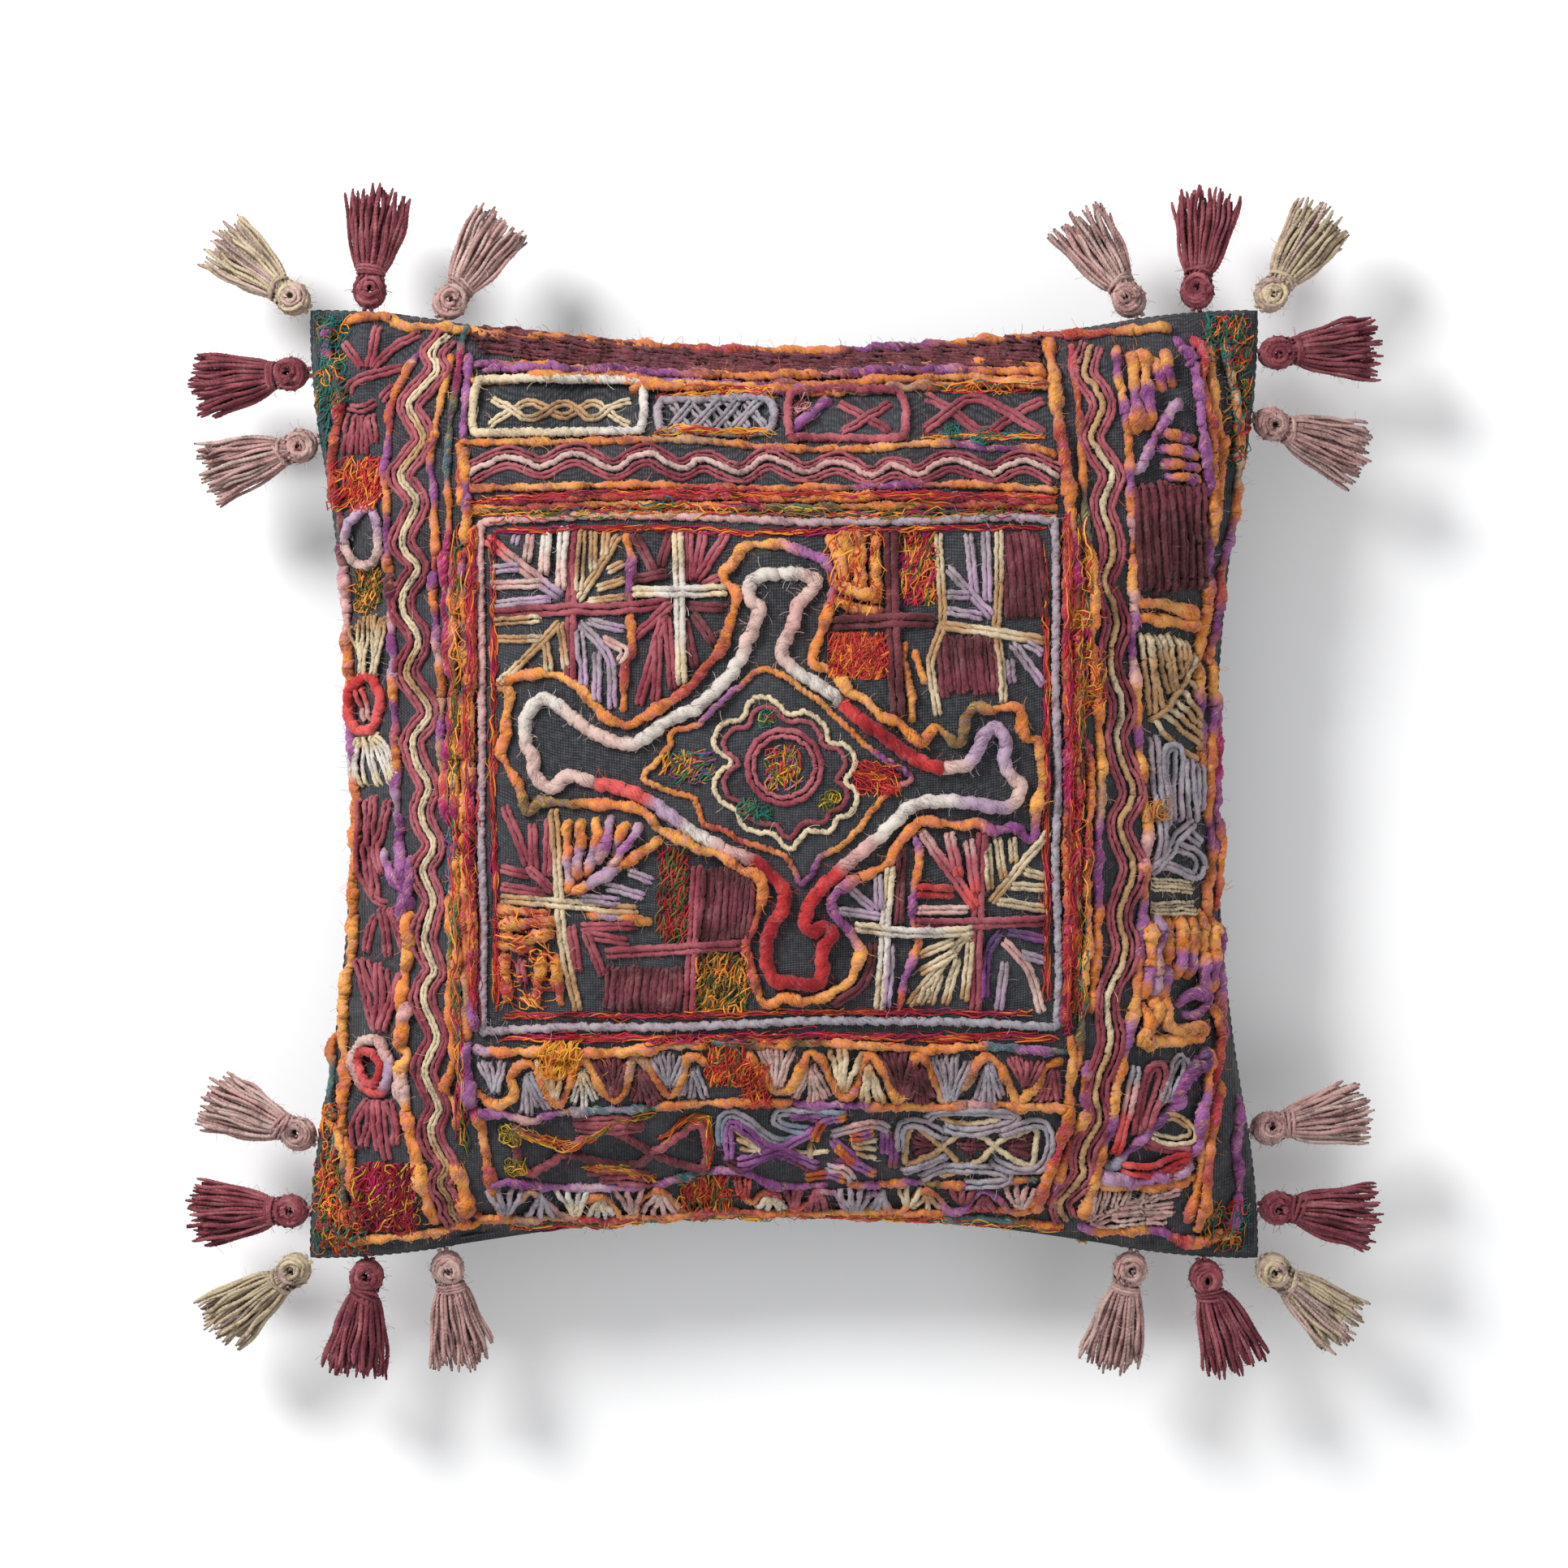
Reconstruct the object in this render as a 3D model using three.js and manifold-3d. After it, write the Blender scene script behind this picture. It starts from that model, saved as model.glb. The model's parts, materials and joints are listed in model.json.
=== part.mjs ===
// A square throw pillow that lies on its back, with its embroidered face up.
// Millimetres. +X runs to the right across the face, +Y to the pillow's top edge, and +Z out of the face.
// The origin is the middle of the flat patch that the pillow rests on.
import * as THREE from "three";
import { mergeVertices } from "three/addons/utils/BufferGeometryUtils.js";
import Module from "manifold-3d";

const wasm = await Module();
wasm.setup();

// Filled cover
const HALF_SIDE = 222; // middle to corner, along one side
const SIDE_BOW = 20; // how far each side pulls in at its middle
const SEAM_HEIGHT = 60; // edge seam above the resting surface
const CROWN = 66; // rise of the face above the seam, and drop of the back before it flattens
const CROWN_POWER = 0.55; // lower is fuller near the seam
const CORNER_DIP = 6; // how far the corner points hang below the rest of the seam
const CORNER_DIP_POWER = 6; // higher keeps the dip nearer the corner
const COVER_WALL = 1;
const TICKING_WALL = 0.8;
const SEAT_GAP = 0.3; // between pieces that touch
const PANEL_CELLS = 12; // facets along one side of a panel

// Tassels
const TASSEL_LENGTH = 62;
const LOOP_RADIUS = 1.6; // the hanging loop, between seam and head
const HEAD_RADIUS = 8.3;
const HEAD_CENTRE = 10.2; // from the seam
const NECK_RADIUS = 6;
const NECK_START = 17.4;
const NECK_LENGTH = 5;
const SKIRT_RADIUS = 14; // at the cut ends
const SKIRT_FLARE = 22; // from the neck to where the skirt is three quarters as wide as at its ends
const BINDING_WALL = 1.3;
const TASSEL_DROOP = 12; // degrees below level
const TASSEL_SIDES = 10;

// Couched cords on the face
const MEDALLION_RADIUS = 2.3;
const DIAMOND_RADIUS = 1.6;
const FLOWER_RADIUS = 1.2;
const RING_CORD_RADIUS = 1.4;
const RING_SIZE = 17;
const RING_MIDDLE = [0, 8];
const BORDER_RADIUS = 1.7;
const CORD_SIDES = 5;
const CORD_END_GAP = 0.003; // share of a closed cord's length left between its two ends

// Zip in the bottom seam
const ZIP_HALF_LENGTH = 145; // along the seam, of the coils
const ZIP_MARGIN = 7; // slit beyond each end of the coils
const ZIP_SLIT_HALF = 7; // half height of the slit that shows the zip
const ZIP_SLIT_DEPTH = 6;
const COIL_DEPTH = 2.2; // from the seam line in to the coil
const COIL_THICK = 1.8;
const COIL_WIDE = 1.7;
const COIL_SPACING = 1.4; // between the two rows
const TAPE_THICK = 0.8;
const SLIDER_LENGTH = 9;
const SLIDER_HALF_WIDTH = 4.2;
const SLIDER_OUTER_WALL = 1;
const SLIDER_INNER_WALL = 1.3;
const BRIDGE_WIDE = 0.8; // the slider's divider, which runs between the rows
const BRIDGE_LENGTH = 2.6;
const STOP_LENGTH = 3;
const STOP_HALF_WIDTH = 2.8;
const PIN_RADIUS = 0.5;
const PIN_OUT = 0.9; // pin's axis out from the seam line
const EAR_WALL = 0.8;
const EYE_RADIUS = 1.35; // the pull tab's eye, outside
const EYE_WIDE = 2;
const TAB_LENGTH = 21;
const TAB_HALF_WIDTH = 2.5;
const TAB_THICK = 0.9;
const TAB_SHOULDER = 2; // down from the eye to where the tab starts to widen
const ZIP_FACETS = 24;

// Each side of the seam is one long hollow arc with a short rounded arc at each end that meets it smoothly.
const sideAngle = 2 * Math.atan(SIDE_BOW / HALF_SIDE);
const hollowReach = ZIP_HALF_LENGTH + ZIP_MARGIN + 3; // half of the hollow arc's span
const hollowRadius = hollowReach / Math.sin(sideAngle);
const earRadius = (HALF_SIDE - hollowReach) / Math.sin(sideAngle);

// How far the seam lies in from the straight line between two corners, at a distance along that side.
function sideBow(along) {
  const s = Math.abs(along);
  if (s < hollowReach) return SIDE_BOW - hollowRadius + Math.sqrt(hollowRadius ** 2 - s ** 2);
  return earRadius - Math.sqrt(earRadius ** 2 - (HALF_SIDE - s) ** 2);
}

function seamHeight(x, y) {
  return SEAM_HEIGHT - CORNER_DIP * Math.abs((x * y) / HALF_SIDE ** 2) ** CORNER_DIP_POWER;
}

// A point of a layer that lies `inset` inside the cover's outside. u and v run from -1 to 1 over the panel,
// and `face` is 1 on the front and -1 on the back.
function layerPoint(u, v, inset, face) {
  const half = HALF_SIDE - inset;
  const x = u * (half - sideBow(v * HALF_SIDE));
  const y = v * (half - sideBow(u * HALF_SIDE));
  const fullness = Math.max(0, (1 - u * u) * (1 - v * v)) ** CROWN_POWER;
  const z = seamHeight(x, y) + face * (SEAT_GAP / 2 + (CROWN - inset) * fullness);
  return new THREE.Vector3(x, y, Math.max(z, inset));
}

// Height of the cover's face above a point of the plan.
function faceHeight(x, y) {
  let u = x / HALF_SIDE;
  let v = y / HALF_SIDE;
  for (let i = 0; i < 8; i++) {
    u = x / (HALF_SIDE - sideBow(v * HALF_SIDE));
    v = y / (HALF_SIDE - sideBow(u * HALF_SIDE));
  }
  return layerPoint(u, v, 0, 1).z;
}

// A solid between two layers, each given as [inset, face]. Both are the same grid of cells, closer together
// near the seam. Every cell is split by the diagonal that points to its corner of the pillow, so that one
// layer never cuts through the next.
function layeredGeometry(upper, lower) {
  const row = PANEL_CELLS + 1;
  const steps = Array.from({ length: row }, (_, i) => Math.sin(Math.PI * (i / PANEL_CELLS - 0.5)));
  const grid = ([inset, face]) => steps.flatMap((v) => steps.map((u) => layerPoint(u, v, inset, face)));
  const points = [...grid(upper), ...grid(lower)];
  const down = row * row;
  const faces = [];
  const rim = [];
  for (let i = 0; i < PANEL_CELLS; i++) {
    for (let j = 0; j < PANEL_CELLS; j++) {
      const a = j * row + i;
      const b = a + 1;
      const c = b + row;
      const d = a + row;
      const leans = i < PANEL_CELLS / 2 === j < PANEL_CELLS / 2;
      const cell = leans ? [a, b, c, a, c, d] : [b, c, d, b, d, a];
      faces.push(...cell, ...cell.map((k) => down + k).reverse());
    }
    const last = PANEL_CELLS * row;
    rim.push([i, i + 1], [PANEL_CELLS + i * row, PANEL_CELLS + (i + 1) * row]);
    rim.push([last + i + 1, last + i], [(i + 1) * row, i * row]);
  }
  for (const [p, q] of rim) faces.push(down + p, down + q, q, down + p, q, p);
  const geometry = new THREE.BufferGeometry().setFromPoints(points);
  geometry.setIndex(faces);
  return geometry;
}

function toSolid(geometry, matrix = new THREE.Matrix4()) {
  const bare = geometry.clone().applyMatrix4(matrix);
  bare.deleteAttribute("normal");
  bare.deleteAttribute("uv");
  const merged = mergeVertices(bare, 1e-4);
  return new wasm.Manifold(
    new wasm.Mesh({
      numProp: 3,
      vertProperties: merged.attributes.position.array,
      triVerts: new Uint32Array(merged.index.array),
    }),
  );
}

function toGeometry(solid) {
  const { vertProperties, triVerts } = solid.getMesh();
  const geometry = new THREE.BufferGeometry();
  geometry.setAttribute("position", new THREE.BufferAttribute(vertProperties, 3));
  geometry.setIndex(new THREE.BufferAttribute(triVerts, 1));
  const faceted = geometry.toNonIndexed();
  faceted.computeVertexNormals();
  return faceted;
}

function piece(name, geometry, colour, roughness = 0.95, metalness = 0) {
  const material = new THREE.MeshStandardMaterial({ color: colour, roughness, metalness });
  const mesh = new THREE.Mesh(geometry, material);
  mesh.name = name;
  return mesh;
}

const pillow = new THREE.Group();

// Zip. Its pieces are made in the seam's own frame: X along the seam, Y in from the seam line, Z up from it.
// The seam there is one circle, so every piece is placed by an angle round that circle's middle.
const seamCircleY = SIDE_BOW - HALF_SIDE - hollowRadius;
const coilAngle = ZIP_HALF_LENGTH / hollowRadius;
const slitAngle = (ZIP_HALF_LENGTH + ZIP_MARGIN) / hollowRadius;

function seamFrame(angle) {
  const group = new THREE.Group();
  group.position.set(0, seamCircleY, SEAM_HEIGHT);
  group.rotation.z = angle;
  return group;
}

// A strip that follows the seam from `near` to `far` in from the seam line, and from `bottom` to `top`.
function seamStrip(near, far, bottom, top, halfAngle) {
  const middle = Math.PI / 2;
  const outline = new THREE.Shape();
  outline.absarc(0, 0, hollowRadius + far, middle - halfAngle, middle + halfAngle, false);
  outline.absarc(0, 0, hollowRadius + near, middle + halfAngle, middle - halfAngle, true);
  const options = { depth: top - bottom, bevelEnabled: false, curveSegments: ZIP_FACETS };
  return new THREE.ExtrudeGeometry(outline, options).translate(0, 0, bottom);
}

function seamBlock(length, near, far, bottom, top) {
  const block = new THREE.BoxGeometry(length, far - near, top - bottom);
  return block.translate(0, hollowRadius + (near + far) / 2, (bottom + top) / 2);
}

const coilFar = COIL_DEPTH + COIL_THICK;
const coilBottom = COIL_SPACING / 2;
const coilTop = coilBottom + COIL_WIDE;
const tapeNear = COIL_DEPTH + (COIL_THICK - TAPE_THICK) / 2;

function makeZip() {
  const frame = seamFrame(0);
  const lying = { front: 1, back: -1 };
  for (const [name, side] of Object.entries(lying)) {
    const tapeLow = coilTop + SEAT_GAP;
    const tapeHigh = ZIP_SLIT_HALF - SEAT_GAP;
    const tapeSpan = side > 0 ? [tapeLow, tapeHigh] : [-tapeHigh, -tapeLow];
    const coilSpan = side > 0 ? [coilBottom, coilTop] : [-coilTop, -coilBottom];
    const tapeAngle = slitAngle - SEAT_GAP / hollowRadius;
    const tape = seamStrip(tapeNear, tapeNear + TAPE_THICK, ...tapeSpan, tapeAngle);
    const coil = seamStrip(COIL_DEPTH, coilFar, ...coilSpan, coilAngle);
    frame.add(piece("zip_tape_" + name, tape, 0x2c2d33));
    frame.add(piece("zip_coil_" + name, coil, 0x26272c, 0.5));
  }
  pillow.add(frame);

  const stopAngle = coilAngle + (SEAT_GAP + STOP_LENGTH / 2) / hollowRadius;
  const stopPlaces = { zip_top_stop: -stopAngle, zip_bottom_stop: stopAngle };
  for (const [name, angle] of Object.entries(stopPlaces)) {
    const place = seamFrame(angle);
    const halfWidth = Math.min(STOP_HALF_WIDTH, coilTop + SEAT_GAP);
    const stop = seamBlock(STOP_LENGTH, COIL_DEPTH, coilFar, -halfWidth, halfWidth);
    place.add(piece(name, stop, 0x8f7a4c, 0.4, 0.9));
    pillow.add(place);
  }
}

// The slider: two plates either side of the coils, a bridge between them, and two ears that hold a pin.
function sliderSolid() {
  const outerFar = COIL_DEPTH - SEAT_GAP;
  const outerNear = outerFar - SLIDER_OUTER_WALL;
  const innerNear = coilFar + SEAT_GAP;
  const innerFar = innerNear + SLIDER_INNER_WALL;
  const narrow = SLIDER_HALF_WIDTH * 0.72;
  const outline = new THREE.Shape([
    new THREE.Vector2(-SLIDER_LENGTH / 2, narrow),
    new THREE.Vector2(-SLIDER_LENGTH / 2, -narrow),
    new THREE.Vector2(0, -SLIDER_HALF_WIDTH),
    new THREE.Vector2(SLIDER_LENGTH / 2 - 1, -SLIDER_HALF_WIDTH),
    new THREE.Vector2(SLIDER_LENGTH / 2, -narrow),
    new THREE.Vector2(SLIDER_LENGTH / 2, narrow),
    new THREE.Vector2(SLIDER_LENGTH / 2 - 1, SLIDER_HALF_WIDTH),
    new THREE.Vector2(0, SLIDER_HALF_WIDTH),
  ]);
  const plate = (near, far) =>
    new THREE.ExtrudeGeometry(outline, { depth: far - near, bevelEnabled: false })
      .rotateX(Math.PI / 2)
      .translate(0, hollowRadius + far, 0);
  const bridge = seamBlock(BRIDGE_LENGTH, outerNear, innerFar, -BRIDGE_WIDE / 2, BRIDGE_WIDE / 2);
  bridge.translate(SLIDER_LENGTH / 2 - BRIDGE_LENGTH / 2 - 1, 0, 0);
  const earMiddle = EYE_WIDE / 2 + SEAT_GAP + EAR_WALL / 2;
  const ears = [-earMiddle, earMiddle].map((x) =>
    seamBlock(EAR_WALL, -PIN_OUT - 2 * PIN_RADIUS, outerFar, -1.2, 1.2).translate(x, 0, 0),
  );
  const pinLength = 2 * earMiddle + EAR_WALL;
  const pin = new THREE.CylinderGeometry(PIN_RADIUS, PIN_RADIUS, pinLength, 8)
    .rotateZ(Math.PI / 2)
    .translate(0, hollowRadius - PIN_OUT, 0);
  return [plate(innerNear, innerFar), bridge, ...ears, pin].reduce(
    (whole, part) => whole.add(toSolid(part)),
    toSolid(plate(outerNear, outerFar)),
  );
}

// The pull tab: an eye round the slider's pin, and a flat tongue that hangs from it.
function pullTabSolid() {
  const eye = new THREE.Shape();
  eye.absarc(0, 0, EYE_RADIUS, 0, 2 * Math.PI, false);
  const hole = new THREE.Path();
  const holeRadius = PIN_RADIUS + SEAT_GAP;
  hole.absarc(0, 0, holeRadius, 0, 2 * Math.PI, true);
  eye.holes.push(hole);
  const barrel = new THREE.ExtrudeGeometry(eye, { depth: EYE_WIDE, bevelEnabled: false, curveSegments: 5 })
    .translate(0, 0, -EYE_WIDE / 2)
    .rotateY(Math.PI / 2)
    .translate(0, hollowRadius - PIN_OUT, 0);
  const neck = EYE_WIDE / 2;
  const neckTop = -(EYE_RADIUS + holeRadius) / 2;
  const shoulder = -EYE_RADIUS - TAB_SHOULDER;
  const endMiddle = TAB_HALF_WIDTH - TAB_LENGTH;
  const tongue = new THREE.Shape();
  tongue.moveTo(neck, neckTop);
  tongue.lineTo(-neck, neckTop);
  tongue.lineTo(-neck, shoulder);
  tongue.lineTo(-TAB_HALF_WIDTH, shoulder - TAB_SHOULDER);
  tongue.absarc(0, endMiddle, TAB_HALF_WIDTH, Math.PI, 2 * Math.PI, false);
  tongue.lineTo(TAB_HALF_WIDTH, shoulder - TAB_SHOULDER);
  tongue.lineTo(neck, shoulder);
  const blade = new THREE.ExtrudeGeometry(tongue, { depth: TAB_THICK, bevelEnabled: false, curveSegments: 6 })
    .rotateX(Math.PI / 2)
    .translate(0, hollowRadius - PIN_OUT + TAB_THICK / 2, 0);
  return toSolid(barrel).add(toSolid(blade));
}

function makeSlider() {
  // The zip is shut: the slider's wide end is against the top stop.
  const place = seamFrame(SLIDER_LENGTH / 2 / hollowRadius - coilAngle);
  place.add(piece("zip_slider", toGeometry(sliderSolid()), 0x8f7a4c, 0.35, 0.9));
  place.add(piece("zip_pull_tab", toGeometry(pullTabSolid()), 0x8f7a4c, 0.35, 0.9));
  pillow.add(place);
}

// Cover, inner case and filling, each inside the last. All of them are cut back where the zip lies.
function makeLayers() {
  const slit = toSolid(
    seamStrip(-ZIP_SLIT_DEPTH, ZIP_SLIT_DEPTH, -ZIP_SLIT_HALF, ZIP_SLIT_HALF, slitAngle),
    new THREE.Matrix4().makeTranslation(0, seamCircleY, SEAM_HEIGHT),
  );
  const addLayer = (name, upper, lower, colour) => {
    const solid = toSolid(layeredGeometry(upper, lower)).subtract(slit);
    pillow.add(piece(name, toGeometry(solid), colour));
  };
  const tickingOut = COVER_WALL + SEAT_GAP;
  const tickingIn = tickingOut + TICKING_WALL;
  const fillOut = tickingIn + SEAT_GAP;
  addLayer("cover_front", [0, 1], [COVER_WALL, 1], 0x46474f);
  addLayer("cover_back", [COVER_WALL, -1], [0, -1], 0x3a3b42);
  addLayer("ticking_front", [tickingOut, 1], [tickingIn, 1], 0xe9e4d8);
  addLayer("ticking_back", [tickingIn, -1], [tickingOut, -1], 0xe9e4d8);
  addLayer("fibre_fill", [fillOut, 1], [fillOut, -1], 0xf6f5f1);
}

// Tassels. Each row is yarn colour, side of its corner, distance from the corner along that side, and how
// far it leans from straight out of the seam, anticlockwise, in degrees. A corner's own tassel has no side.
const YARNS = { cream: 0xe9dcc4, rose: 0x9c4a5a, pink: 0xcaa59b };
const CORNERS = {
  top_left: {
    point: [-1, 1],
    tassels: [
      ["cream", "corner", 0, 10],
      ["rose", "top", 27, -4],
      ["pink", "top", 60, -34],
      ["rose", "left", 29, 5],
      ["pink", "left", 60, 20],
    ],
  },
  top_right: {
    point: [1, 1],
    tassels: [
      ["cream", "corner", 0, 6],
      ["rose", "top", 29, -4],
      ["pink", "top", 55, 30],
      ["rose", "right", 21, 7],
      ["pink", "right", 50, -19],
    ],
  },
  bottom_left: {
    point: [-1, -1],
    tassels: [
      ["cream", "corner", 0, -6],
      ["rose", "bottom", 28, -9],
      ["pink", "bottom", 62, 12],
      ["rose", "left", 22, 1],
      ["pink", "left", 54, -24],
    ],
  },
  bottom_right: {
    point: [1, -1],
    tassels: [
      ["cream", "corner", 0, 6],
      ["rose", "bottom", 27, 15],
      ["pink", "bottom", 58, -12],
      ["rose", "right", 24, -4],
      ["pink", "right", 58, 15],
    ],
  },
};
const OUTWARD = { top: [0, 1], bottom: [0, -1], left: [-1, 0], right: [1, 0] };

// Where a tassel is sewn into the seam, and the direction straight out from there, in degrees.
function tasselRoot([cornerX, cornerY], side, fromCorner) {
  const [outX, outY] = side === "corner" ? [cornerX, cornerY] : OUTWARD[side];
  const along = HALF_SIDE - fromCorner;
  const out = HALF_SIDE - sideBow(along);
  const x = outX === 0 ? cornerX * along : outX * out;
  const y = outY === 0 ? cornerY * along : outY * out;
  return { root: new THREE.Vector3(x, y, seamHeight(x, y)), outward: Math.atan2(outY, outX) };
}

const neckEnd = NECK_START + NECK_LENGTH;

function bundleGeometry() {
  const headShoulder = 0.65 * HEAD_RADIUS;
  const headReach = 0.76 * HEAD_RADIUS;
  const start = SEAT_GAP + 0.1;
  const profile = [
    [0, start],
    [LOOP_RADIUS, 2 * LOOP_RADIUS + start],
    [headShoulder, HEAD_CENTRE - headReach],
    [HEAD_RADIUS, HEAD_CENTRE],
    [NECK_RADIUS, NECK_START - 2],
    [NECK_RADIUS, neckEnd],
    [0.75 * SKIRT_RADIUS, neckEnd + SKIRT_FLARE],
    [SKIRT_RADIUS, TASSEL_LENGTH],
    [0, TASSEL_LENGTH],
  ];
  return new THREE.LatheGeometry(profile.map((p) => new THREE.Vector2(...p)), TASSEL_SIDES);
}

function bindingGeometry() {
  const inner = NECK_RADIUS + SEAT_GAP;
  const outer = inner + BINDING_WALL;
  const shoulder = BINDING_WALL / 2;
  const profile = [
    [inner, NECK_START],
    [outer, NECK_START + shoulder],
    [outer, neckEnd - shoulder],
    [inner, neckEnd],
    [inner, NECK_START],
  ];
  return new THREE.LatheGeometry(profile.map((p) => new THREE.Vector2(...p)), TASSEL_SIDES);
}

function makeTassels() {
  for (const [corner, { point, tassels }] of Object.entries(CORNERS)) {
    for (const [yarn, side, fromCorner, lean] of tassels) {
      const { root, outward } = tasselRoot(point, side, fromCorner);
      const name = [corner, side, yarn].join("_");
      const turned = new THREE.Group();
      turned.position.copy(root);
      turned.rotation.z = outward + THREE.MathUtils.degToRad(lean) - Math.PI / 2;
      const hanging = new THREE.Group();
      hanging.rotation.x = -THREE.MathUtils.degToRad(TASSEL_DROOP);
      hanging.add(piece("tassel_" + name, bundleGeometry(), YARNS[yarn]));
      hanging.add(piece("binding_" + name, bindingGeometry(), YARNS[yarn]));
      turned.add(hanging);
      pillow.add(turned);
    }
  }
}

// Couched cords. Each lies on the face along its route, seen from above, and closes on itself.
const MEDALLION = [
  [0, 97], [-10, 96], [-16, 90], [-12, 81], [-17, 66], [-25, 50], [-42, 34], [-59, 25],
  [-72, 18], [-90, 25], [-105, 37], [-113, 38], [-119, 25], [-115, 10], [-107, -2], [-98, 4],
  [-86, 0], [-67, -5], [-44, -21], [-23, -32], [-6, -42], [0, -54], [-7, -68], [-7, -84],
  [0, -91], [14, -92], [18, -82], [22, -69], [11, -65], [13, -54], [33, -33], [51, -17],
  [62, -9], [80, -8], [101, -11], [109, -2], [102, 9], [101, 22], [94, 25], [88, 14],
  [78, 7], [63, 10], [33, 31], [6, 51], [-1, 62], [6, 80], [15, 92],
];
const DIAMOND = [
  [-9, 53], [1, 48], [16, 38], [30, 25], [44, 13], [57, 2], [49, -4], [37, -17], [24, -30],
  [14, -38], [8, -46], [2, -36], [-15, -28], [-37, -18], [-41, -8], [-64, 3], [-53, 16],
  [-50, 24], [-37, 29], [-25, 41],
];
const FLOWER = [
  [-9, 40], [2, 32], [14, 31], [21, 19], [32, 13], [28, 1], [33, -8], [24, -15], [19, -22],
  [3, -30], [-5, -24], [-19, -19], [-22, -12], [-31, 2], [-25, 10], [-32, 22], [-20, 30], [-16, 38],
];
const BORDER = [
  [-138, 123], [-90, 124], [0, 125], [90, 124], [124, 123], [125, 119], [125, 60], [124, -60],
  [125, -108], [122, -112], [80, -112], [0, -113], [-90, -112], [-136, -111], [-139, -107],
  [-138, -50], [-139, 60], [-140, 119],
];

function ringRoute() {
  const turn = new THREE.EllipseCurve(...RING_MIDDLE, RING_SIZE, RING_SIZE);
  return turn.getPoints(12).slice(0, -1).map((p) => [p.x, p.y]);
}

function couchedCord(name, route, radius, steps, colour) {
  const onFace = ([x, y]) => new THREE.Vector3(x, y, faceHeight(x, y) + radius + SEAT_GAP);
  const loop = new THREE.CatmullRomCurve3(route.map(onFace), true, "centripetal");
  const stations = Array.from({ length: steps + 1 }, (_, i) => {
    const { x, y } = loop.getPointAt((i / steps) * (1 - CORD_END_GAP));
    return onFace([x, y]);
  });
  const section = new THREE.Shape(
    Array.from({ length: CORD_SIDES }, (_, i) => {
      const turn = (2 * Math.PI * i) / CORD_SIDES;
      return new THREE.Vector2(radius * Math.cos(turn), radius * Math.sin(turn));
    }),
  );
  const extrudePath = new THREE.CatmullRomCurve3(stations);
  pillow.add(piece(name, new THREE.ExtrudeGeometry(section, { steps, extrudePath }), colour));
}

makeLayers();
makeZip();
makeSlider();
makeTassels();
couchedCord("medallion_cord", MEDALLION, MEDALLION_RADIUS, 90, 0xe6ddd8);
couchedCord("diamond_cord", DIAMOND, DIAMOND_RADIUS, 36, 0xd98a3c);
couchedCord("flower_cord", FLOWER, FLOWER_RADIUS, 56, 0xe4d6bd);
couchedCord("ring_cord", ringRoute(), RING_CORD_RADIUS, 20, 0xa8505f);
couchedCord("border_cord", BORDER, BORDER_RADIUS, 44, 0xb3a3a8);

export default pillow;
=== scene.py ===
"""A square embroidered throw pillow, lying on its back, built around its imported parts."""

import json
import math
import random

import bpy
import numpy as np
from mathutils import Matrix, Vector
from mathutils.bvhtree import BVHTree


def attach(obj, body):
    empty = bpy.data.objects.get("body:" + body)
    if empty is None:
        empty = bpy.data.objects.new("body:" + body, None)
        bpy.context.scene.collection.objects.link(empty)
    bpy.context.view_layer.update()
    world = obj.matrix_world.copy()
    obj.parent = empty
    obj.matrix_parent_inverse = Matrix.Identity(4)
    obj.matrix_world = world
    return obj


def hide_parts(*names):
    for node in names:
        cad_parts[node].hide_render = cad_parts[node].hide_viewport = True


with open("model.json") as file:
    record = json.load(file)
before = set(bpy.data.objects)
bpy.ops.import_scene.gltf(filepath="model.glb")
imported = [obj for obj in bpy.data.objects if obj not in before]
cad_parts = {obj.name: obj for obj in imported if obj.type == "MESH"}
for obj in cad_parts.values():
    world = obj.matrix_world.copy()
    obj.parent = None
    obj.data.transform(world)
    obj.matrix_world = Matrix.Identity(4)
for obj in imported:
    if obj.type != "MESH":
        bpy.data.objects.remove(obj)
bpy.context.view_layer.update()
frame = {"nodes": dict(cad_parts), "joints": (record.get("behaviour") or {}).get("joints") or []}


# ----------------------------------------------------------------------------------------------------------
# Cover. Two squares of charcoal canvas, about 18 inches each, sewn together round the edge and turned out
# over a plump inner. The sides pull in between the corners, and the cloth puckers a little along the seam.
# ----------------------------------------------------------------------------------------------------------
HALF = 0.222           # middle to corner, along one side
BOW = 0.020            # how far each side pulls in at its middle
SEAM_Z = 0.060         # seam above the floor
CROWN = 0.066          # rise of the face above the seam
CROWN_POWER = 0.55
CORNER_DIP = 0.006
CELLS = 96             # quads along one side of a panel
CLOTH_CAP = 0.007      # furthest that the filling may push the cloth
CANVAS_WALL = 0.0009
HOLLOW_REACH = 0.155   # half span of the hollow arc along each side
ZIP_REACH = 0.152      # half length of the opening for the zip
LIP = 0.0048           # half height of that opening

side_angle = 2 * math.atan(BOW / HALF)
hollow_radius = HOLLOW_REACH / math.sin(side_angle)
ear_radius = (HALF - HOLLOW_REACH) / math.sin(side_angle)


def side_bow(along):
    s = np.minimum(np.abs(along), HALF)
    hollow = BOW - hollow_radius + np.sqrt(hollow_radius ** 2 - np.minimum(s, HOLLOW_REACH) ** 2)
    ear = ear_radius - np.sqrt(ear_radius ** 2 - (HALF - s) ** 2)
    return np.where(s < HOLLOW_REACH, hollow, ear)


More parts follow.
